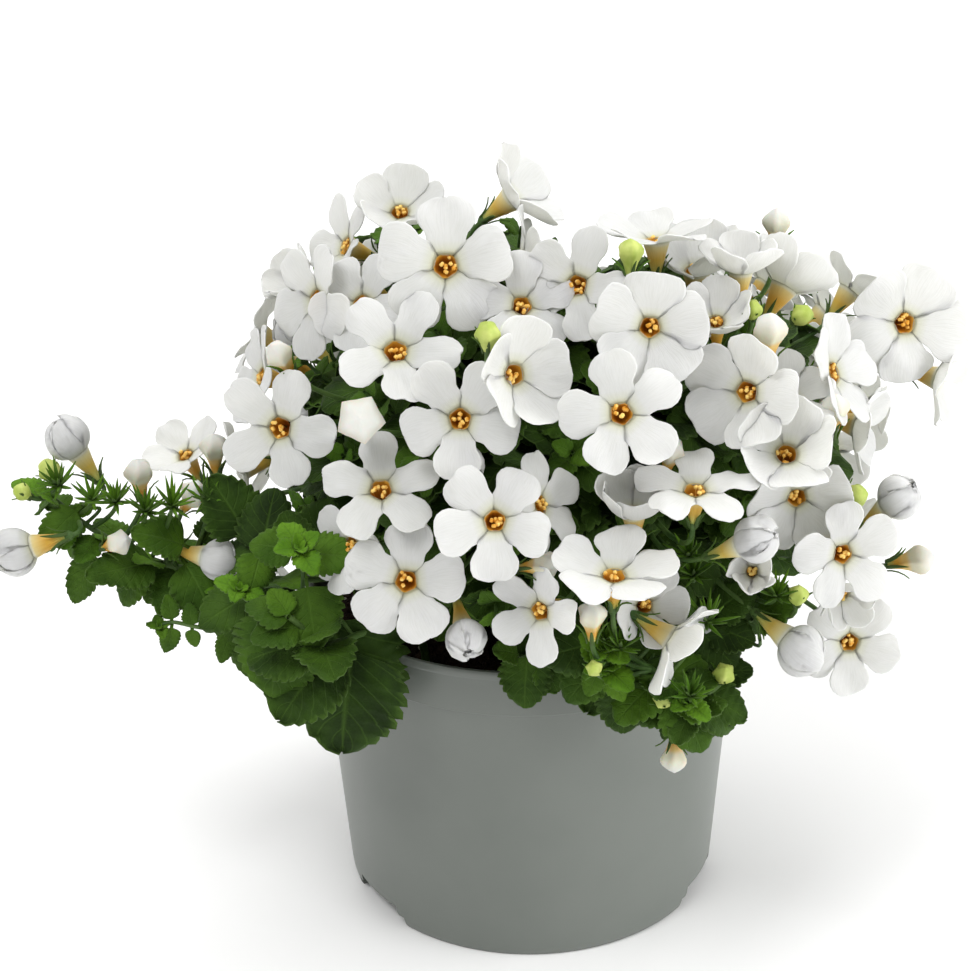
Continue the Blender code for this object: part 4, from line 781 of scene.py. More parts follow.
for x, y in CROWN_STEMS:
    route = smooth_route([np.array([x * MM, y * MM, SOIL_EDGE - 14 * MM]),
                          np.array([x * MM, y * MM, SOIL_CROWN]),
                          np.array([1.1 * x * MM, 1.1 * y * MM, CORE_FLOOR + 8 * MM])])
    inner.tube(route, np.full(len(route), CROWN_STEM_RADIUS), 12, 0.3)
inner.piece("inner_stems", [stem_green, inner_painted_shade], ["foliage"], "foliage")


# Leaves of the mound
# Toothed, short-stalked leaves, softly hairy and dark green, paired crosswise on short leafy stems
# that stand out of the plant on all sides. Those at the tips are young, small and bright.
EYE = np.array([-11.0, -602.0, 409.0]) * MM
LOOKS_DOWN = math.radians(25.9)
LEANS = math.radians(-1.21)
FOCAL_LENGTH_PX = 2500.0
FRAME_CENTRE_PX = (485.0, 485.5)
ACROSS = np.array([1.0, 0, 0])
ABOVE = np.array([0, math.sin(LOOKS_DOWN), math.cos(LOOKS_DOWN)])
SIGHT_AHEAD = np.array([0, math.cos(LOOKS_DOWN), -math.sin(LOOKS_DOWN)])
SIGHT_RIGHT = ACROSS * math.cos(LEANS) + ABOVE * math.sin(LEANS)
SIGHT_UP = ABOVE * math.cos(LEANS) - ACROSS * math.sin(LEANS)
# The plant's upper outline in the photograph, from left to right; leaves and sprays stay inside it.
SKYLINE_PX = ((0, 470), (120, 466), (205, 440), (232, 374), (262, 322), (300, 262), (345, 224), (400, 206),
              (500, 206), (545, 232), (572, 262), (600, 262), (640, 246), (700, 252), (812, 250),
              (860, 296), (890, 340), (925, 430), (970, 470))
MOUND_CENTRE = np.array([12.0, 2.0, 124.0]) * MM
MOUND_RADII = np.array([90.0, 82.0, 79.0]) * MM
LEAF_THICKNESS = 0.28 * MM
INNER_LEAVES = 370
LEAFY_TIPS = 64
SHORTEST_LEAF = 7 * MM
ASIDE = 0.5                     # how far a leaf that isn't clear is turned aside for its next try
SHORTENED = 0.9                 # and how long it then is, as a share of the last try
STALK_SHARE = 0.13              # a leaf's short stalk, as a share of its length
STALK_HALF_WIDTH = 0.45 * MM
MIDRIB_REACH = 0.035            # how far the midrib's colour reaches, as a share of the leaf's width
SIDE_VEINS = 6.5
SIDE_VEIN_REACH = 0.09
VEIN_SLANT = -4.2
MARGIN_START = 0.43             # from the midrib, as a share of the leaf's width
TIP_PAIRS = 4
TIP_LEAF_LENGTHS = (15 * MM, 7 * MM)
TIP_LEAF_WIDTH = 0.8
TIP_STEM_RADIUS = 0.8 * MM
TIP_FIRST_PAIR = 0.3            # how far along its stem a leafy tip's first pair of leaves stands
TIP_TEETH = 4


def leaf_surface(length, width, arch, fold, teeth, columns, draw):
    """A toothed leaf's grid about its root, along +Y with its upper side to +Z, and its map."""
    step = 0.93 / teeth
    rows = [(0.0, 1.0, 0.0)]
    for tooth in range(teeth):
        start = 0.05 + tooth * step
        rows += [(start, 0.90, 0.0), (start + 0.42 * step, 1.0, 0.0), (start + 0.80 * step, 1.04, 0.12)]
    rows += [(0.985, 0.9, 0.0), (1.0, 1.0, 0.0)]
    share, edge, forward = (np.array(column)[:, None] for column in zip(*rows))
    outline = np.sin(math.pi * share ** 0.62) ** 0.58
    half = np.maximum(0.5 * width * length * outline, STALK_HALF_WIDTH)
    v = np.linspace(-1, 1, columns)[None, :]
    x = half * v * (1 + (edge - 1) * v ** 4)
    t = STALK_SHARE + (1 - STALK_SHARE) * (share + forward * step * v ** 4)
    t = np.concatenate([np.zeros((1, columns)), t])
    x = np.concatenate([STALK_HALF_WIDTH * v, x])
    ridge = np.concatenate([np.zeros((1, 1)), share])
    wave = (draw.uniform(0.02, 0.05) * np.sin(5 * v * draw.uniform(0.6, 1.2) + 8 * ridge
                                            + draw.uniform(0, 6)) * v ** 2
            + 0.012 * np.cos(2 * math.pi * ridge * teeth) * np.abs(v)
            + draw.uniform(-0.10, 0.04) * np.abs(v) ** 3) * np.minimum(1, 4 * ridge) * length
    height = fold * np.abs(x) + wave
    sway = draw.uniform(-0.10, 0.10) * length * t ** 2
    bend = arch * t
    y = length * np.sin(bend) / arch + height * np.sin(bend)
    z = length * (np.cos(bend) - 1) / arch + height * np.cos(bend)
    mapping = np.stack(np.broadcast_arrays(0.5 + 0.5 * v, t), -1)
    return np.stack(np.broadcast_arrays(x + sway, y, z), -1), mapping


def frame_along(front, up):
    """Axes with +Y along front and +Z as near to up as it goes, as a matrix for row points."""
    front = unit(front)
    side = np.cross(front, up)
    if np.linalg.norm(side) < 1e-3:
        side = np.cross(front, [0.3, -1.0, 0.2])
    side = unit(side)
    return np.stack([side, front, np.cross(side, front)])


def outward(turn, level):
    """The direction at an angle round the plant and at a level from -1, down, to 1, up."""
    wide = math.sqrt(1 - level * level)
    return np.array([math.cos(turn) * wide, math.sin(turn) * wide, level])


def out_of_core(out, depth):
    """A point at a depth in the inner stems, and the direction straight out of them there."""
    point = CORE_CENTRE + out * CORE_RADII * depth
    point[2] = max(point[2], CORE_FLOOR + 1 * MM)
    return point, unit(out / CORE_RADII)


def sight_line(px, py):
    """The direction from the eye through a pixel of the photograph."""
    return unit(SIGHT_AHEAD + SIGHT_RIGHT * (px - FRAME_CENTRE_PX[0]) / FOCAL_LENGTH_PX
                + SIGHT_UP * (FRAME_CENTRE_PX[1] - py) / FOCAL_LENGTH_PX)


def seen_at(px, py, back):
    """The point of a pixel's line of sight that lies back mm behind the pot's middle."""
    line = sight_line(px, py)
    return EYE + line * ((back * MM - EYE[1]) / line[1])


def under_skyline(points):
    """True where the points lie inside the plant's upper outline, as the photograph shows it."""
    off = points.reshape(-1, 3) - EYE
    depth = off @ SIGHT_AHEAD
    px = FRAME_CENTRE_PX[0] + FOCAL_LENGTH_PX * (off @ SIGHT_RIGHT) / depth
    py = FRAME_CENTRE_PX[1] - FOCAL_LENGTH_PX * (off @ SIGHT_UP) / depth
    return bool((py > np.interp(px, *zip(*SKYLINE_PX))).all())


def on_mound(px, py, nearer):
    """Where a line of sight meets the mound, or passes nearest to it, and then nearer by some mm."""
    line = sight_line(px, py)
    start = (EYE - MOUND_CENTRE) / MOUND_RADII
    step = line / MOUND_RADII
    a = step @ step
    b = step @ start
    inside = b * b - a * (start @ start - 1)
    return EYE + line * ((-b - math.sqrt(max(inside, 0.0))) / a - nearer * MM)


class Room:
    """What is already grown, so that new leaves and stalks can stay clear of it."""

    def __init__(self, shapes):
        self.shapes = shapes
        self.low = np.array(solid_box[0], float)
        self.high = np.array(solid_box[1], float)

    def holds(self, points):
        """True if points lie inside the solids' box and under the plant's upper outline."""
        inside = (points >= self.low).all() and (points <= self.high).all()
        return bool(inside) and under_skyline(points)

    def crossed_by(self, shape):
        """True if a shape crosses what is already grown."""
        return any(shape.overlap(other) for other in self.shapes)

    def clear(self, grid):
        """True if a grid lies inside the solids' box and crosses nothing."""
        points = grid.reshape(-1, 3)
        return self.holds(points) and not self.crossed_by(shape_tree(points, grid_quads(*grid.shape[:2])))


def grow_leaf(growth, root, front, up, length, width, draw, teeth=6, columns=7, tone=0.2, arch=None,
              tries=4):
    """Adds a leaf where it is clear, trying it turned aside or up and then a bit shorter."""
    arch = draw.uniform(0.35, 0.9) if arch is None else arch
    fold = draw.uniform(0.10, 0.26)
    root = np.asarray(root, float)
    for _ in range(tries):
        surface, mapping = leaf_surface(length, width, arch, fold, teeth, columns, draw)
        blade = surface @ frame_along(front, up) + root
        if room.clear(blade):
            growth.sheet(blade, mapping, LEAF_THICKNESS, tone)
            return
        front = unit(np.asarray(front, float) + [draw.uniform(-ASIDE, ASIDE) for _ in range(3)])
        length = max(length * SHORTENED, SHORTEST_LEAF)


def leafy_stem(growth, route, tone, young, draw):
    """A stem with crosswise pairs of leaves that get shorter and brighter towards its tip."""
    growth.tube(route, np.linspace(TIP_STEM_RADIUS, TIP_STEM_RADIUS * 0.55, len(route)), 8, tone, 1)
    ahead = np.gradient(route, axis=0)
    turn = draw.uniform(0, math.pi)
    longest, shortest = TIP_LEAF_LENGTHS
    for pair in range(TIP_PAIRS):
        up_stem = pair / (TIP_PAIRS - 1)
        share = TIP_FIRST_PAIR + (1 - TIP_FIRST_PAIR) * pair / (TIP_PAIRS - 1)
        at = int(share * (len(route) - 1))
        way = unit(ahead[at])
        axes = frame_along(way, [0.2, 0.1, 1.0])
        length = longest + (shortest - longest) * up_stem ** 0.8
        for side in (0, math.pi):
            angle = turn + side + draw.uniform(-0.25, 0.25)
            out = axes[0] * math.cos(angle) + axes[2] * math.sin(angle)
            front = out + way * (0.35 + 0.9 * share + draw.uniform(-0.15, 0.25))
            long = length * draw.uniform(0.85, 1.12)
            bright = min(1.0, tone + (young - tone) * share ** 2 + draw.uniform(-0.08, 0.08))
            grow_leaf(growth, route[at], front, way, long, TIP_LEAF_WIDTH, draw, TIP_TEETH, 5, bright)
        turn += math.pi / 2


def worked_out(tree, operation, *values):
    """The socket with the result of a sum; the values are sockets or plain numbers."""
    return shader_node(tree, "ShaderNodeMath", dict(enumerate(values)), operation=operation).outputs[0]


def vein_group():
    """Masks of a leaf's midrib and side veins, and of its margin, from its growth map."""
    tree = bpy.data.node_groups.new("leaf_veins", "ShaderNodeTree")
    for name in ("Vein", "Margin"):
        tree.interface.new_socket(name, in_out="OUTPUT", socket_type="NodeSocketFloat")
    outside = tree.nodes.new("NodeGroupOutput")
    across, along = growth_map(tree)
    away = worked_out(tree, "ABSOLUTE", worked_out(tree, "SUBTRACT", across, 0.5))
    middle = shader_node(tree, "ShaderNodeMapRange", {
        "Value": away, "From Max": MIDRIB_REACH, "To Min": 1.0, "To Max": 0.0})
    rows = worked_out(tree, "MULTIPLY", along, SIDE_VEINS)
    slant = worked_out(tree, "MULTIPLY_ADD", away, VEIN_SLANT, rows)
    side = shader_node(tree, "ShaderNodeMapRange", {
        "Value": worked_out(tree, "PINGPONG", slant, 0.5), "From Max": SIDE_VEIN_REACH,
        "To Min": 0.7, "To Max": 0.0})
    margin = shader_node(tree, "ShaderNodeMapRange", {
        "Value": away, "From Min": MARGIN_START, "From Max": 0.5})
    tree.links.new(worked_out(tree, "MAXIMUM", middle.outputs["Result"], side.outputs["Result"]),
                   outside.inputs["Vein"])
    tree.links.new(margin.outputs["Result"], outside.inputs["Margin"])
    return tree


VEINS = vein_group()
leaf_green, tree, shader = new_finish("matt_green_leaf", Roughness=0.66, Specular_IOR_Level=0.15,
                                      Sheen_Weight=0.02, Sheen_Roughness=0.6)
youth, lower_side = tint_parts(tree)
leaf_grain, leaf_mottle = grain(tree, 1300.0, 95.0)
veins = shader_node(tree, "ShaderNodeGroup", node_tree=VEINS)
old = colour_ramp(tree, leaf_mottle, [(0.3, (0.010, 0.026, 0.002)), (0.7, (0.026, 0.062, 0.004))])
young = colour_ramp(tree, leaf_mottle, [(0.3, (0.065, 0.17, 0.004)), (0.7, (0.13, 0.28, 0.012))])
upper = mixed_colour(tree, youth, old, young)
vein_share = worked_out(tree, "MULTIPLY", veins.outputs["Vein"], 0.38)
upper = mixed_colour(tree, vein_share, upper, (0.085, 0.17, 0.022))
margin_share = worked_out(tree, "MULTIPLY", veins.outputs["Margin"], 0.30)
upper = mixed_colour(tree, margin_share, upper, (0.11, 0.20, 0.035))
under = mixed_colour(tree, vein_share, (0.060, 0.105, 0.026), (0.13, 0.20, 0.06))
tree.links.new(mixed_colour(tree, lower_side, upper, under), shader.inputs["Base Color"])
bump(tree, shader, worked_out(tree, "MULTIPLY_ADD", veins.outputs["Vein"], -1.0, leaf_grain), 0.5, 0.5 * MM)

pot_shape = BVHTree.FromPolygons([v.co.copy() for v in pot.data.vertices],
                                 [list(p.vertices) for p in pot.data.polygons])
room = Room([all_blooms.shape(), pot_shape])
mound_low = Growth()
mound_high = Growth()
mound_tips = Growth()
draw = random.Random(11)
for number in range(INNER_LEAVES):
    level = 1 - 1.52 * (number + 0.5) / INNER_LEAVES
    root, normal = out_of_core(outward(number * GOLDEN_TURN, level), draw.uniform(0.74, 0.96))
    front = normal * 0.9 + np.array([draw.uniform(-0.9, 0.9), draw.uniform(-0.9, 0.9),
                                     draw.uniform(-0.55, 0.65)])
    growth = mound_high if level > 0.25 else mound_low
    grow_leaf(growth, root, front, normal * 0.6 + np.array([0, 0, 1.0]),
              draw.uniform(17, 25) * MM, draw.uniform(0.78, 0.95), draw, 6, 5, draw.uniform(0.0, 0.25))
for number in range(LEAFY_TIPS):
    level = 1 - 1.42 * (number + 0.5) / LEAFY_TIPS
    start, normal = out_of_core(outward(number * GOLDEN_TURN + 0.4, level), 0.86)
    away = unit(normal + [draw.uniform(-0.4, 0.4), draw.uniform(-0.4, 0.4), draw.uniform(-0.2, 0.5)])
    reach = draw.uniform(14, 24) * MM
    route = smooth_route([start, start + away * reach * 0.5 + np.array([0, 0, 0.4 * MM]),
                          start + away * reach + np.array([0, 0, 0.14 * reach])], 5)
    strip = np.stack([route, route + [0, 0, 0.6 * MM]], 1)
    if room.clear(strip):
        leafy_stem(mound_tips, route, draw.uniform(0.0, 0.15), draw.uniform(0.25, 0.7), draw)
for name, growth in (("lower_mound_leaves", mound_low), ("upper_mound_leaves", mound_high),
                     ("leafy_tips", mound_tips)):
    growth.piece(name, [leaf_green, stem_green], ["foliage"], "foliage")


# Trailing, left and front shoots
# Leafy shoots that arch over the pot's lip: a long one to the left, one at the left front with the
# plant's largest rounded leaves, and a short one at the right front that hangs below the lip.
SHOOT_ROUTES = {
    "trailing_shoot": ((-36, -10.4, 64), (-36, -10.4, 86), (-45, -13, 96.6), (-60, -17, 98.4),
                       (-80, -19, 101), (-99, -20, 107), (-114, -19, 116), (-124, -18, 125)),
    "left_shoot": ((-28, -32, 64), (-28, -32, 86), (-35, -40, 97.0), (-43, -49, 99.6), (-51, -58, 102),
                   (-60, -62, 112)),
    "front_shoot": ((14.4, -40, 64), (14.4, -40, 86), (18, -50, 96.8), (22, -60, 99.6), (30, -69, 98),
                    (37, -74, 93), (40, -76, 88)),
}
SHOOT_RADIUS = 1.2 * MM
LIP_POINT = 3
ROUTE_STEPS = 8
PAST_LIP = LIP_POINT * ROUTE_STEPS
LARGE_LEAF = 20                 # a shoot's leaf longer than this (mm) has more teeth and columns
# Each leaf: how far along past the lip, facing (degrees right of the front, degrees up), length and
# width share, and how young it is.
SHOOT_LEAVES = {
    "trailing_shoot": (
        (0.05, -30, -10, 17, 0.86, 0.3), (0.12, -80, 20, 16, 0.80, 0.2), (0.20, -20, -50, 18, 0.86, 0.1),
        (0.32, -150, 30, 15, 0.80, 0.4), (0.40, -10, -20, 15, 0.80, 0.3), (0.52, -60, -50, 15, 0.80, 0.3),
        (0.60, -130, 40, 12, 0.76, 0.5), (0.70, -20, 0, 12, 0.76, 0.5), (0.80, -90, -60, 12, 0.76, 0.5),
        (0.88, -140, 10, 11, 0.70, 0.7), (0.94, -40, 50, 9, 0.70, 0.8), (1.00, -95, 30, 11, 0.66, 0.9),
        (0.08, 20, 30, 15, 0.8, 0.7), (0.16, -100, -30, 14, 0.8, 0.4), (0.28, 10, 20, 13, 0.8, 0.8),
        (0.36, -90, -20, 12, 0.8, 0.5), (0.46, -30, 35, 11, 0.75, 0.9), (0.56, -110, -10, 12, 0.75, 0.6),
        (0.66, -10, 40, 10, 0.7, 0.9), (0.76, -60, 20, 9, 0.7, 0.9), (0.86, -20, -30, 10, 0.7, 0.7),
        (0.97, -120, -30, 10, 0.65, 0.8)),
    "left_shoot": (
        (0.10, -20, -58, 31, 1.04, 0.0), (0.28, -58, -34, 26, 1.00, 0.05), (0.46, -86, 4, 22, 0.96, 0.1),
        (0.60, 10, 12, 17, 0.94, 0.15), (0.80, -70, 20, 14, 0.94, 0.25), (0.92, -98, 34, 13, 0.90, 0.3),
        (0.70, 30, 40, 13, 0.9, 0.2), (0.98, -130, 50, 9, 0.85, 0.5)),
    "front_shoot": (
        (0.04, -50, -32, 18, 0.92, 0.1), (0.16, -20, -60, 18, 0.92, 0.1), (0.26, 74, 0, 17, 0.90, 0.3),
        (0.40, -58, -20, 16, 0.88, 0.4), (0.54, 30, -40, 17, 0.92, 0.3), (0.68, 84, -20, 15, 0.88, 0.1),
        (0.80, -30, -20, 10, 0.84, 0.1), (0.92, 40, 40, 9, 0.84, 0.3),
        (0.34, 10, 30, 12, 0.8, 0.3), (0.48, -20, 30, 11, 0.8, 0.4), (0.60, 100, 30, 11, 0.8, 0.2),
        (0.74, 0, 20, 9, 0.8, 0.5), (0.86, 80, 40, 9, 0.8, 0.2)),
}


def smooth_routes(routes):
    """The round curve of each named route, in metres."""
    return {name: smooth_route(np.array(points) * MM, ROUTE_STEPS) for name, points in routes.items()}


def past_lip(route, share):
    """The place at a share of a shoot's way past the lip, and its direction there."""
    rest = route[PAST_LIP:]
    at = share * (len(rest) - 1)
    low = min(int(at), len(rest) - 2)
    way = rest[low + 1] - rest[low]
    return rest[low] + way * (at - low), unit(way)


def shoot_stem(growth, route):
    """Adds a shoot's own stem, which thins towards its tip."""
    growth.tube(route, np.linspace(SHOOT_RADIUS, SHOOT_RADIUS * 0.6, len(route)), 10, 0.4, 1)


shoot_routes = smooth_routes(SHOOT_ROUTES)
shoots = {}
for number, (name, leaves) in enumerate(SHOOT_LEAVES.items()):
    draw = random.Random(60 + number)
    growth = Growth()
    route = shoot_routes[name]
    shoot_stem(growth, route)
    for along, yaw, tilt, length, width, tone in leaves:
        joint, _ = past_lip(route, along)
        teeth, columns = (8, 9) if length > LARGE_LEAF else (6, 7)
        grow_leaf(growth, joint, facing(yaw, tilt), [0, -0.4, 1.0], length * MM, width, draw,
                  teeth, columns, tone, draw.uniform(0.4, 0.7), 12)
    shoots[name] = growth


# Back sprays
# Three leafy, flowering stems that rise from the pot's far side and lean over the top, with white
# blooms like the front's, so that the plant is as full from behind.
SPRAY_ROUTES = {
    "back_spray_left": ((-22.4, 35.2, 64), (-22.4, 35.2, 86), (-28, 44, 96.8), (-36, 56, 99.6),
                        (-44, 66, 106), (-50, 70, 122), (-46, 66, 146), (-34, 54, 168)),
    "back_spray_middle": ((6.4, 41.6, 64), (6.4, 41.6, 86), (8, 52, 96.8), (10, 65, 99.8), (14, 72, 106),
                          (16, 75, 124), (14, 71, 150), (10, 60, 164)),
    "back_spray_right": ((35.2, 24, 64), (35.2, 24, 86), (44, 30, 96.8), (56, 40, 99.6), (66, 50, 106),
                         (74, 54, 122), (72, 54, 146), (58, 46, 168)),
}
SPRAY_TRIES = 1600
SPRAY_BLOOMS = 44
HIGH_LEVEL = 0.35               # above this level the blooms are smaller and sit deeper
NEAREST_THE_FRONT = 8 * MM      # a spray's bloom stands no nearer the front, and no lower, than these
LOWEST_BLOOM = 88 * MM
OPENINGS = (0.8, 0.9, 0.95, 0.97, 0.9, 0.62, 0.3)
SPRAY_JOINTS = 30
PETAL_SLOT = 2                  # where a bloom's finishes start among those of shoots and sprays
spray_routes = smooth_routes(SPRAY_ROUTES)
sprays = {name: Growth() for name in spray_routes}
spray_heads = []
draw = random.Random(21)
for number in range(SPRAY_TRIES):
    if len(spray_heads) == SPRAY_BLOOMS:
        break
    turn = draw.uniform(0.02, 0.98) * math.pi
    level = draw.uniform(-0.42, 0.97)
    high_up = level > HIGH_LEVEL
    snug = draw.uniform(0.70, 0.92) if high_up else draw.uniform(0.93, 1.0)
    place = MOUND_CENTRE + outward(turn, level) * MOUND_RADII * snug
    if place[1] < NEAREST_THE_FRONT or place[2] < LOWEST_BLOOM or not under_skyline(place):
        continue
    front = Vector(place - CORE_CENTRE).normalized() + Vector((0, 0, draw.uniform(-0.3, 0.35)))
    stray = 0.15 if high_up else 0.35
    front += Vector([draw.uniform(-stray, stray) for _ in range(3)])
    front.normalize()
    opening = draw.choice(OPENINGS)
    size = (draw.uniform(10.5, 13.5) if high_up else draw.uniform(13.0, 16.0)) * MM
    growth = corolla(size, opening, draw.uniform(0.9, 1.3), turn_to(front, draw.uniform(0, 72)), place,
                     draw)
    shape = growth.shape()
    if not room.holds(np.concatenate(growth.points)) or room.crossed_by(shape):
        continue
    nearest = min(spray_routes, key=lambda name: np.linalg.norm(
        spray_routes[name][PAST_LIP:] - place, axis=1).min())
    sprays[nearest].take(growth, PETAL_SLOT)
    room.shapes.append(shape)
    spray_heads.append((nearest, Vector(place), front))
for name, route in spray_routes.items():
    growth = sprays[name]
    shoot_stem(growth, route)
    for step in range(SPRAY_JOINTS):
        joint, way = past_lip(route, step / (SPRAY_JOINTS - 1))
        out = unit(joint - CORE_CENTRE)
        aside = np.cross(way, out)
        for side in (-1, 1):
            front = (out * draw.uniform(0.2, 1.0) + way * draw.uniform(-0.2, 0.5)
                     + side * aside * draw.uniform(0.5, 1.0))
            grow_leaf(growth, joint, front, [0, 0.3, 1.0], draw.uniform(12, 19) * MM, 0.85, draw, 5, 5,
                      draw.uniform(0.1, 0.6))


# Calyxes and flower stalks
# Under each bloom five narrow, hairy sepals clasp the foot of its tube, on a thin stalk that curves
# back into the plant or to the shoot that bears it.
SEPAL_LENGTH = 6.4 * MM
SEPAL_WIDTH = 1.15 * MM
SEPAL_THICKNESS = 0.3 * MM
STALK_RADIUS = 0.62 * MM
STALK_STEPS = 12
NECK_RADII = (0.7 * MM, 1.35 * MM, 1.2 * MM)
# The ways that a stalk may bend: how far out its middle stands, and how far aside, as shares of its
# length. The first that is clear of the blooms is taken.
STALK_BENDS = ((0.35, 0), (0.55, 0), (0.35, 0.3), (0.35, -0.3), (0.6, 0.45), (0.6, -0.45), (0.15, 0.6),
               (0.15, -0.6))
STALK_HOSTS = {"bloom_09": "front_shoot", "bloom_47": "trailing_shoot",
               "bloom_48": "trailing_shoot", "bloom_49": "trailing_shoot", "bloom_50": "trailing_shoot"}


def sepal_surface(length, width, flare, start):
    """A narrow pointed sepal's grid: it hugs the tube and then bends outwards by flare."""
    t = np.array([0, 0.22, 0.48, 0.76, 1.0])[:, None]
    half = 0.5 * width * np.sqrt(np.clip(1 - t, 0.004, 1)) * (0.62 + 0.9 * t * (1 - t) * 2)
    v = np.array([-1.0, 0.0, 1.0])[None, :]
    bend = flare * t
    away = start + length * (1 - np.cos(bend)) / flare + 0.10 * length * t
    height = length * np.sin(bend) / flare
    x = half * v
    y = away - 0.25 * np.abs(x)
    mapping = np.stack(np.broadcast_arrays(0.5 + 0.5 * v, t), -1)
    return np.stack(np.broadcast_arrays(x, y, height), -1), mapping


def grow_calyx(growth, place, front, length, draw, tone, start=1.35 * MM, flare=0.9):
    """Five sepals round a flower's foot at place, pointing along front."""
    axes = turn_to(Vector(front), draw.uniform(0, 72))
    for sepal in range(5):
        angle = sepal * 2 * math.pi / 5 + draw.uniform(-0.12, 0.12)
        surface, mapping = sepal_surface(length * draw.uniform(0.85, 1.1), SEPAL_WIDTH,
                                         flare * draw.uniform(0.7, 1.5), start)
        round_axis = np.array([[math.cos(angle), -math.sin(angle), 0],
                               [math.sin(angle), math.cos(angle), 0], [0, 0, 1]])
        growth.sheet(surface @ round_axis @ axes.T + place, mapping, SEPAL_THICKNESS, tone)


def core_anchor(place):
    """A point inside the inner stems, straight in from a place outside them."""
    off = np.asarray(place) - CORE_CENTRE
    point = CORE_CENTRE + off * (0.78 / np.linalg.norm(off / CORE_RADII))
    point[2] = max(point[2], CORE_FLOOR + 4 * MM)
    return point


def grow_stalk(growth, place, front, end, radius=STALK_RADIUS):
    """A thin stalk from under a flower that curves to its end, bent clear of the blooms."""
    start = np.asarray(place, float)
    down = -np.asarray(front, float)
    reach = np.linalg.norm(end - start)
    side = np.cross(down, end - start)
    side = side / (np.linalg.norm(side) + 1e-9)
    t = np.linspace(0, 1, STALK_STEPS)[:, None]
    routes = []
    for bend, swing in STALK_BENDS:
        middle = start + down * reach * bend + side * reach * swing
        route = (1 - t) ** 2 * start + 2 * t * (1 - t) * middle + t ** 2 * end
        strip = np.stack([route[1:], route[1:] + side * 0.8 * MM + [0, 0, 0.3 * MM]], 1)
        routes.append(route)
        if room.clear(strip):
            break
    else:
        route = routes[0]
    growth.tube(route, np.linspace(radius, radius * 1.2, STALK_STEPS), 7, 0.5, 1)


def nearest_on(route, place):
    """The point of a shoot past the lip that lies nearest to a place."""
    rest = route[PAST_LIP:]
    return rest[np.argmin(np.linalg.norm(rest - place, axis=1))]


def carry_bloom(growth, place, front, route, draw):
    """Gives a bloom its calyx, the swollen top of its stalk, and the stalk to a route or the core."""
    ahead = np.array(front)
    foot = np.array(place - front * TUBE_LENGTH)
    grow_calyx(growth, foot - ahead * 0.9 * MM, front, SEPAL_LENGTH, draw, draw.uniform(0.2, 0.6))
    growth.tube([foot - ahead * 2.2 * MM, foot - ahead * 1.2 * MM, foot], NECK_RADII, 10, 0.6, 1)
    end = core_anchor(foot) if route is None else nearest_on(route, foot)
    grow_stalk(growth, foot - ahead * 2.0 * MM, front, end)


# Blooms half hidden behind the others: the throat's place (pixels) and how much nearer than the mound
# (mm), facing, turn, radius in mm, openness and breadth of the lobes.
HALF_HIDDEN = (
    (716, 322, -4, -10, 62, 10, 12.0, 0.5, 1.25), (522, 306, -8, 10, 40, 0, 14.0, 0.9, 1.1),
    (362, 304, -8, -30, 40, 20, 14.0, 0.9, 1.1), (842, 594, -2, 14, -10, 0, 10.5, 0.4, 1.2),
    (644, 606, -4, 20, 24, 30, 12.0, 0.7, 1.1), (752, 572, -2, -10, 30, 0, 8.5, 0.36, 1.25),
)
heads = Growth()
draw = random.Random(31)
half_hidden = []
for px, py, nearer, yaw, tilt, roll, radius, opening, full in HALF_HIDDEN:
    front = facing(yaw, tilt)
    place = on_mound(px, py, nearer)
    heads.take(corolla(radius * MM, opening, full, turn_to(front, roll), place, draw), PETAL_SLOT)
    half_hidden.append((None, Vector(place), front))
for name, (place, front) in blooms.items():
    host = STALK_HOSTS.get(name)
    carry_bloom(shoots.get(host, heads), place, front, shoot_routes.get(host), draw)
for host, place, front in (*spray_heads, *half_hidden):
    carry_bloom(sprays.get(host, heads), place, front, spray_routes.get(host), draw)


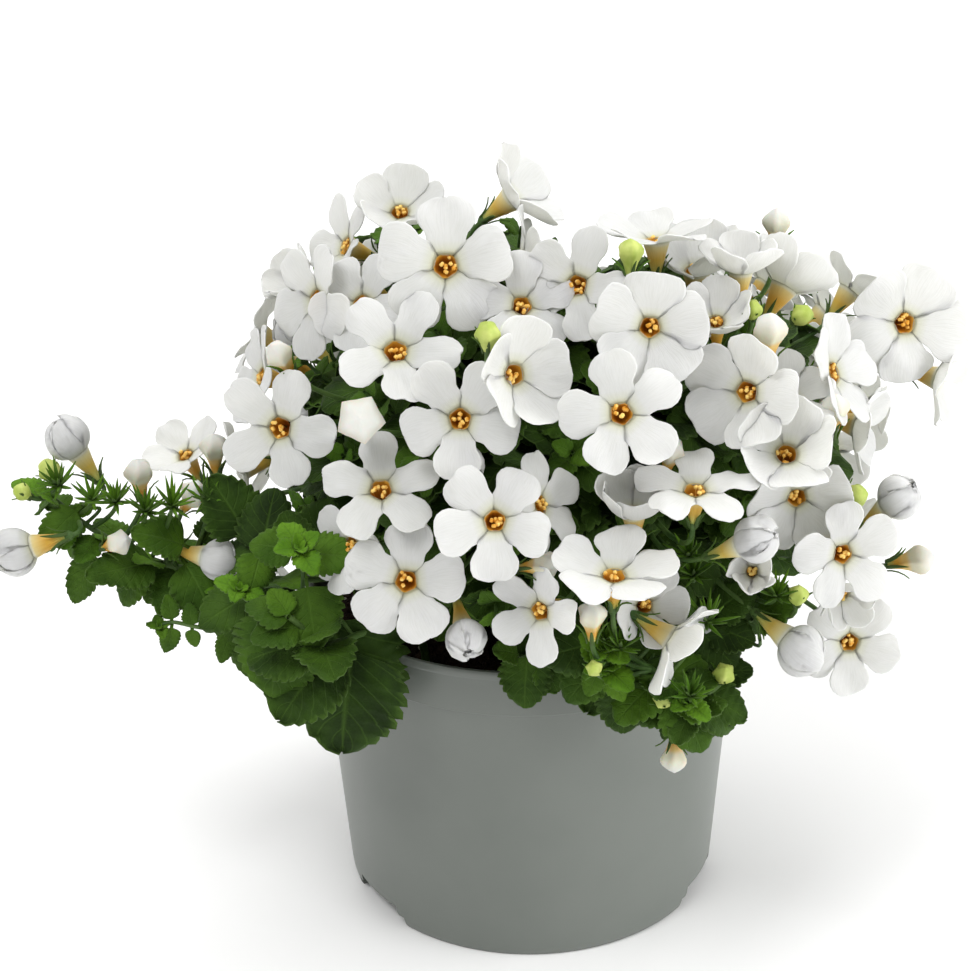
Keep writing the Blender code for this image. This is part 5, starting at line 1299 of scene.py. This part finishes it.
# Leaves and tips seen from the front
# The leaves, rosettes of young leaves and bracted flowering tips that give the plant's left and right
# front their look. Each grows on a short stalk from the shoot or from the inner stems near it.
# Each leaf: its foot and its tip in the photograph (pixels), how far back its foot lies and how much
# nearer its tip comes (mm), its width share, how young it is, and what bears it.
SEEN_LEAVES = (
    (326, 606, 360, 722, -46, 12, 0.94, 0.00, "left_shoot"),
    (288, 606, 268, 690, -52, 10, 1.02, 0.22, "left_shoot"),
    (306, 578, 314, 641, -54, 10, 0.98, 0.25, "left_shoot"),
    (300, 552, 350, 560, -56, 4, 0.80, 0.45, "left_shoot"),
    (300, 552, 256, 543, -54, 2, 0.85, 0.35, "left_shoot"),
    (300, 560, 285, 520, -46, 0, 0.90, 0.05, "left_shoot"),
    (310, 560, 330, 510, -40, 0, 0.90, 0.00, "left_shoot"),
    (262, 560, 268, 500, -30, 0, 0.85, 0.00, "trailing_shoot"),
    (250, 540, 216, 488, -26, 2, 0.85, 0.05, "trailing_shoot"),
    (262, 548, 252, 590, -46, 6, 0.85, 0.40, "left_shoot"),
    (258, 590, 206, 622, -40, 8, 0.80, 0.12, "left_shoot"),
    (268, 600, 240, 640, -36, 4, 0.90, 0.00, "left_shoot"),
    (236, 612, 246, 676, -34, 4, 0.48, 0.10, "left_shoot"),
    (232, 628, 222, 660, -34, 4, 0.60, 0.15, "left_shoot"),
    (180, 556, 214, 612, -24, 10, 0.75, 0.30, "trailing_shoot"),
    (162, 562, 98, 578, -22, 12, 0.62, 0.22, "trailing_shoot"),
    (172, 560, 150, 600, -18, 6, 0.80, 0.15, "trailing_shoot"),
    (190, 548, 142, 530, -24, 6, 0.75, 0.35, "trailing_shoot"),
    (200, 546, 218, 520, -20, 0, 0.85, 0.08, "trailing_shoot"),
    (216, 556, 250, 560, -26, 6, 0.85, 0.15, "trailing_shoot"),
    (96, 546, 76, 603, -20, 4, 0.50, 0.30, "trailing_shoot"),
    (82, 506, 42, 545, -20, 8, 0.60, 0.35, "trailing_shoot"),
    (98, 508, 60, 512, -18, 4, 0.40, 0.40, "trailing_shoot"),
    (604, 640, 550, 662, -66, 6, 0.90, 0.10, "front_shoot"),
    (604, 652, 574, 700, -68, 6, 0.90, 0.22, "front_shoot"),
    (626, 672, 628, 730, -70, 5, 0.95, 0.08, "front_shoot"),
    (608, 662, 620, 700, -74, 4, 0.70, 0.55, "front_shoot"),
    (600, 664, 590, 694, -74, 4, 0.75, 0.40, "front_shoot"),
    (640, 660, 668, 690, -66, 6, 0.90, 0.05, "front_shoot"),
    (690, 690, 742, 712, -68, 6, 0.78, 0.10, "front_shoot"),
    (700, 680, 744, 668, -62, 4, 0.80, 0.02, "front_shoot"),
    (690, 700, 720, 728, -70, 6, 0.80, 0.15, "front_shoot"),
    (684, 702, 644, 712, -70, 6, 0.85, 0.12, "front_shoot"),
    (680, 708, 668, 738, -70, 4, 0.70, 0.12, "front_shoot"),
    (688, 706, 694, 734, -70, 4, 0.60, 0.20, "front_shoot"),
    (628, 628, 662, 656, -58, 5, 0.90, 0.05, "front_shoot"),
    (664, 632, 634, 662, -60, 5, 0.90, 0.10, "front_shoot"),
    (676, 644, 700, 676, -60, 5, 0.90, 0.02, "front_shoot"),
    (706, 626, 748, 640, -58, 6, 0.90, 0.00, "front_shoot"),
    (700, 630, 730, 668, -60, 6, 0.90, 0.02, "front_shoot"),
    (700, 620, 664, 600, -60, 6, 0.85, 0.10, "front_shoot"),
    (712, 616, 742, 590, -56, 4, 0.90, 0.02, "front_shoot"),
    (752, 620, 784, 598, -56, 8, 0.85, 0.30, None),
    (760, 640, 752, 600, -54, 6, 0.85, 0.10, None),
    (520, 656, 500, 648, -60, 4, 0.90, 0.20, None),
    (528, 650, 522, 702, -60, 8, 0.95, 0.10, None),
    (540, 660, 556, 690, -62, 4, 0.90, 0.25, None),
    (172, 622, 169, 600, -34, 1, 0.62, 0.35, "left_shoot"),
    (172, 624, 170, 652, -34, 1, 0.62, 0.35, "left_shoot"),
    (192, 627, 189, 608, -34, 1, 0.70, 0.30, "left_shoot"),
    (192, 627, 193, 646, -34, 1, 0.70, 0.30, "left_shoot"),
    (160, 627, 148, 624, -34, 1, 0.60, 0.40, "left_shoot"),
)
# Short side stems that some of those leaves grow from: the bearer, how far back (mm) and the pixels.
SEEN_STEMS = (
    ("left_shoot", -34, ((262, 612), (240, 629), (204, 628), (172, 622), (158, 627))),
    ("left_shoot", -52, ((296, 610), (303, 585), (301, 556))),
    ("front_shoot", -68, ((648, 690), (622, 672), (606, 656))),
    ("front_shoot", -68, ((676, 700), (688, 700), (690, 696))),
)
STEM_REACH_PX = 16.0
LARGE_SEEN_LEAF = 18 * MM
LEAF_STALK_RADIUS = 0.45 * MM
ROSETTE_STALK_RADIUS = 0.5 * MM
TIP_STALK_RADIUS = 0.55 * MM
# Each rosette: place (pixels), how far back (mm), its leaves' length (mm), how young it is.
SEEN_ROSETTES = (
    (300, 550, -62, 8.5, 0.95, "left_shoot"), (240, 590, -50, 7.0, 1.0, "left_shoot"),
    (607, 668, -80, 8.5, 0.9, "front_shoot"), (688, 704, -80, 8.0, 0.9, "front_shoot"),
    (604, 650, -80, 7.0, 0.8, "front_shoot"), (160, 627, -34, 4.0, 0.5, "left_shoot"),
)
# Each flowering tip: place (pixels), how far back (mm), its bracts' length (mm) and number.
SEEN_TIPS = (
    (59, 486, -24, 7.0, 22, "trailing_shoot"), (92, 500, -24, 6.5, 14, "trailing_shoot"),
    (116, 502, -26, 7.0, 18, "trailing_shoot"), (146, 512, -28, 7.0, 20, "trailing_shoot"),
    (172, 506, -28, 7.5, 18, "trailing_shoot"), (206, 500, -24, 7.0, 12, "trailing_shoot"),
    (620, 648, -82, 6.5, 18, "front_shoot"), (604, 640, -80, 6.0, 12, "front_shoot"),
    (690, 696, -82, 6.0, 18, "front_shoot"), (706, 622, -70, 7.5, 22, "front_shoot"),
    (694, 576, -64, 7.5, 20, None), (688, 556, -66, 6.5, 14, None), (776, 596, -66, 6.5, 16, None),
)


def bearer(host, place):
    """The growth that bears something at a place, and the joint on it."""
    if host:
        return shoots[host], nearest_on(shoot_routes[host], place)
    return heads, core_anchor(place)


def stands_free(px, py):
    """True if nothing that was placed before has a stem close to a pixel of the photograph."""
    return min(math.hypot(px - x, py - y) for x, y in stem_pixels) > STEM_REACH_PX


def rosette(growth, place, front, size, tone, draw):
    """Crosswise pairs of young leaves round a tip, the inner ones smaller and more upright."""
    axes = turn_to(Vector(front), draw.uniform(0, 90))
    for layer, (share, lean) in enumerate(((1.0, 0.35), (0.8, 0.8), (0.55, 1.7), (0.35, 3.0))):
        for side in range(2):
            angle = layer * math.pi / 2 + side * math.pi + draw.uniform(-0.2, 0.2)
            out = axes[:, 0] * math.cos(angle) + axes[:, 1] * math.sin(angle) + axes[:, 2] * lean
            surface, mapping = leaf_surface(size * MM * share * draw.uniform(0.9, 1.1), 0.82, 0.5, 0.3,
                                            5, 5, draw)
            growth.sheet(surface @ frame_along(out, axes[:, 2]) + place, mapping, LEAF_THICKNESS,
                         min(1.0, tone + 0.06 * layer))


def flowering_tip(growth, place, front, size, count, draw):
    """Narrow bracts that radiate round a tip."""
    axes = turn_to(Vector(front), draw.uniform(0, 90))
    for number in range(count):
        angle = number * GOLDEN_TURN
        lean = 0.25 + 2.4 * (number / count) ** 1.5 + draw.uniform(-0.15, 0.15)
        out = axes[:, 0] * math.cos(angle) + axes[:, 1] * math.sin(angle) + axes[:, 2] * lean
        surface, mapping = sepal_surface(size * MM * draw.uniform(0.7, 1.15), 1.25 * MM,
                                         draw.uniform(0.2, 0.9), 0.4 * MM)
        aside = np.cross(out, axes[:, 2])
        bract_axes = [aside / max(np.linalg.norm(aside), 1e-6), axes[:, 2] * 0.3 + out * 0.1, unit(out)]
        growth.sheet(surface @ np.stack(bract_axes) + place, mapping, SEPAL_THICKNESS,
                     draw.uniform(0.35, 0.95))


draw = random.Random(71)
stem_pixels = []
for host, back, pixels in SEEN_STEMS:
    route = smooth_route([seen_at(px, py, back) for px, py in pixels], 5)
    shoots[host].tube(route, np.linspace(0.75 * MM, 0.45 * MM, len(route)), 8, 0.5, 1)
    stem_pixels += pixels
for px, py, tip_px, tip_py, back, nearer, width, tone, host in SEEN_LEAVES:
    foot = seen_at(px, py, back)
    tip = seen_at(tip_px, tip_py, back - nearer)
    growth, joint = bearer(host, foot)
    length = np.linalg.norm(tip - foot)
    detail = 9 if length > LARGE_SEEN_LEAF else 7
    toward = [draw.uniform(-0.25, 0.25), 0.1, draw.uniform(0.2, 0.7)] - sight_line(px, py)
    surface, mapping = leaf_surface(length * 1.12, width, draw.uniform(0.35, 0.6),
                                    draw.uniform(0.06, 0.16), detail, detail, draw)
    axes = frame_along(tip - foot + [0, 0, 0.10 * length], toward)
    growth.sheet(surface @ axes + foot, mapping, LEAF_THICKNESS, tone)
    if stands_free(px, py):
        grow_stalk(growth, foot, (tip - foot) / length, joint, LEAF_STALK_RADIUS)
        stem_pixels.append((px, py))
for px, py, back, size, tone, host in SEEN_ROSETTES:
    place = seen_at(px, py, back)
    growth, joint = bearer(host, place)
    front = unit([0, 0, 0.7] - sight_line(px, py) * 0.6)
    rosette(growth, place, front, size, tone, draw)
    if stands_free(px, py):
        grow_stalk(growth, place, front, joint, ROSETTE_STALK_RADIUS)
for px, py, back, size, count, host in SEEN_TIPS:
    place = seen_at(px, py, back)
    growth, joint = bearer(host, place)
    front = unit([draw.uniform(-0.3, 0.3), -0.45, 0.8])
    flowering_tip(growth, place, front, size, count, draw)
    grow_stalk(growth, place, front, joint, TIP_STALK_RADIUS)


# Buds
# Shut buds of all ages among the blooms: round lime-green ones, and longer ones whose white head
# swells out of an orange foot. Each has sepals and a stalk like a bloom's.
# Each bud's foot in the photograph (pixels), how much nearer than the mound and moved along the line
# of sight (mm), facing (degrees right of the front, degrees up), length (mm) and what bears it.
BUDS = (
    (361, 424, 8, 0, 2, 34, 8.0, None), (293, 372, 4, 0, -50, 56, 11.0, None),
    (487, 350, 14, 0, 10, 76, 8.0, None), (630, 278, 0, 0, -4, 92, 10.0, None),
    (776, 250, -16, 0, 0, 90, 11.5, None), (752, 318, 0, 0, -10, 70, 5.5, None),
    (795, 322, 0, 0, 50, 50, 6.0, None), (768, 362, 6, 0, 8, 86, 13.0, None),
    (832, 436, 2, 4, -6, 84, 12.0, None), (667, 470, 0, 14, 10, 64, 11.0, None),
    (838, 497, -4, 0, 80, 10, 7.5, None), (874, 548, 0, 0, 40, 60, 10.5, None),
    (888, 565, -2, 0, 84, 14, 12.5, None), (520, 568, 4, 4, 66, 18, 10.5, None),
    (592, 640, 8, 0, -6, 84, 11.0, "front_shoot"), (674, 732, 14, 0, 0, -72, 10.5, "front_shoot"),
    (722, 680, 2, 0, 10, 60, 6.0, "front_shoot"), (663, 705, 8, 0, -10, 60, 5.0, "front_shoot"),
    (797, 604, 4, 0, 10, 80, 5.5, None), (596, 672, 10, 0, -20, 50, 4.5, "front_shoot"),
    (142, 498, 2, 0, -10, 84, 12.0, "trailing_shoot"), (216, 474, -4, -2, 4, 88, 12.0, None),
    (183, 510, 6, 0, 46, 52, 12.0, "trailing_shoot"), (104, 548, 6, 0, 50, 30, 10.4, "trailing_shoot"),
    (56, 478, 0, 0, -60, 60, 6.5, "trailing_shoot"), (30, 497, 2, 0, -80, 40, 5.0, "trailing_shoot"),
)


# A bud's radius at each level, as shares of its length: a ripe one, a young one and the one that is
# seen end on as a star.
BUD_LEVELS = (0, 0.12, 0.26, 0.40, 0.52, 0.62, 0.72, 0.82, 0.92, 1.0)
SLIM_BUD = (0.09, 0.11, 0.14, 0.18, 0.24, 0.29, 0.30, 0.255, 0.15, 0.002)
FULL_BUD = (0.16, 0.26, 0.36, 0.42, 0.44, 0.43, 0.39, 0.31, 0.19, 0.002)
STAR_SHAPE = (0.12, 0.13, 0.16, 0.22, 0.32, 0.46, 0.62, 0.68, 0.40, 0.002)
BUD_SIDES = 20
STAR_BUD = (361, 424)
WHITE_BUD = 10.2                # a longer bud than this (mm) is white, and a shorter one lime green
RIPE_FROM = 6.5
RIPE_OVER = 3.0


def bud_grid(length, ripe, star):
    """A shut bud's rings about its foot, along +Z: a lobed head on a foot, slimmer as it ripens."""
    t = np.array(BUD_LEVELS)[:, None]
    slim, full, flat = (np.array(radii)[:, None] for radii in (SLIM_BUD, FULL_BUD, STAR_SHAPE))
    radius = (flat if star else slim * ripe + full * (1 - ripe)) * length
    share = np.arange(BUD_SIDES)[None, :] / BUD_SIDES
    turns = 2 * math.pi * share
    depth = 0.17 * t ** 2 if star else 0.14 * np.sin(math.pi * t ** 1.5)
    folds = 1 + depth * (1 - 2 * np.abs(np.sin(2.5 * turns)))
    twist = 0.0 if star else 0.5 * t
    x = radius * folds * np.cos(turns + twist)
    y = radius * folds * np.sin(turns + twist)
    mapping = np.stack(np.broadcast_arrays(share, t), -1)
    return np.stack(np.broadcast_arrays(x, y, length * t), -1), mapping


bud_white, tree, shader = new_finish("white_bud", Roughness=0.55, Specular_IOR_Level=0.3,
                                     Subsurface_Weight=0.3, Subsurface_Scale=0.0016)
_, along = growth_map(tree)
tone = colour_ramp(tree, along, [(0.0, (0.46, 0.44, 0.12)), (0.20, (0.70, 0.36, 0.05)),
                                 (0.38, (0.72, 0.50, 0.18)), (0.52, (0.68, 0.66, 0.50)),
                                 (1.0, (0.665, 0.67, 0.635))])
bud_grain, bud_mottle = grain(tree, 1200.0, 160.0)
shade = colour_ramp(tree, bud_mottle, [(0.3, (0.93, 0.93, 0.92)), (0.7, (1.0, 1.0, 1.0))])
tree.links.new(mixed_colour(tree, 1.0, tone, shade, "MULTIPLY"), shader.inputs["Base Color"])
bump(tree, shader, bud_grain, 0.25, 0.0003)

bud_lime = mottled_finish(
    "lime_bud", (1200.0, 200.0), [(0.3, (0.36, 0.46, 0.08)), (0.7, (0.56, 0.62, 0.18))], (0.3, 0.3 * MM),
    Roughness=0.5, Specular_IOR_Level=0.3)

GROWTH_FINISHES = [leaf_green, stem_green, petal, throat, anther, bud_white, bud_lime]
WHITE_SLOT = 5
LIME_SLOT = 6
for px, py, nearer, shift, yaw, tilt, length, host in BUDS:
    front = np.array(facing(yaw, tilt))
    foot = on_mound(px, py, nearer) + sight_line(px, py) * shift * MM
    growth, joint = bearer(host, foot)
    ripe = min(1.0, max(0.0, (length - RIPE_FROM) / RIPE_OVER))
    star = (px, py) == STAR_BUD
    surface, mapping = bud_grid(length * MM, ripe, star)
    points = (surface @ turn_to(Vector(front), draw.uniform(0, 72)).T + foot).reshape(-1, 3)
    tint = np.tile([0.5, 0.0, 0.0, 1.0], (len(points), 1))
    growth.add(points, grid_quads(len(BUD_LEVELS), BUD_SIDES, True), mapping.reshape(-1, 2), tint,
               WHITE_SLOT if star or length > WHITE_BUD else LIME_SLOT)
    grow_calyx(growth, foot - front * 0.6 * MM, front, (3.6 + 0.26 * length) * MM, draw,
               draw.uniform(0.4, 0.9), (0.17 - 0.05 * ripe) * length * MM, 0.8)
    grow_stalk(growth, foot, front, joint)
for name, growth in (*shoots.items(), *sprays.items()):
    growth.piece(name + "_growth", GROWTH_FINISHES, [name], "foliage")
heads.piece("calyxes_stalks_and_buds", GROWTH_FINISHES, ["foliage"], "foliage")


# Stage
# A plain pale studio floor that isn't part of the object, soft light from above, and the camera
# where the photograph was taken from.
FRAME_WIDTH_PX = 970
SENSOR_WIDTH = 36.0
camera = placed("camera", bpy.data.cameras.new("camera"))
camera.data.sensor_fit = "HORIZONTAL"
camera.data.sensor_width = SENSOR_WIDTH
camera.data.lens = SENSOR_WIDTH * FOCAL_LENGTH_PX / FRAME_WIDTH_PX
camera.data.clip_start = 0.01
axes = Matrix([axis.tolist() for axis in (SIGHT_RIGHT, SIGHT_UP, -SIGHT_AHEAD)]).transposed()
camera.matrix_world = Matrix.Translation(Vector(EYE)) @ axes.to_4x4()
bpy.context.scene.camera = camera

floor_mesh = bpy.data.meshes.new("floor")
floor_mesh.from_pydata([(-8, -8, 0), (8, -8, 0), (8, 8, 0), (-8, 8, 0)], [], [(0, 1, 2, 3)])
floor = placed("floor", floor_mesh)
floor.location.z = -0.0002
floor_mesh.materials.append(mottled_finish(
    "pale_floor", (60.0, 2.0), [(0.3, (0.90, 0.90, 0.90)), (0.7, (0.93, 0.93, 0.93))],
    Roughness=0.8, Specular_IOR_Level=0.1))

for name, place, size, power in (("key", (-0.9, -1.15, 2.5), 1.0, 37.0),
                                 ("fill", (2.2, -0.2, 1.2), 1.2, 17.0),
                                 ("low", (2.2, -1.2, 0.7), 1.2, 26.0),
                                 ("top", (0.2, 1.3, 2.6), 2.4, 42.0)):
    lamp = placed(name, bpy.data.lights.new(name, "AREA"))
    lamp.data.size = size
    lamp.data.energy = power
    lamp.location = place
    lamp.rotation_euler = (Vector((0, 0, 0.1)) - Vector(place)).to_track_quat("-Z", "Y").to_euler()
world = bpy.data.worlds.new("studio")
world.use_nodes = True
world.node_tree.nodes["Background"].inputs["Color"].default_value = (1.0, 0.995, 0.98, 1.0)
world.node_tree.nodes["Background"].inputs["Strength"].default_value = 0.58
bpy.context.scene.world = world
bpy.context.scene.view_settings.view_transform = "Standard"
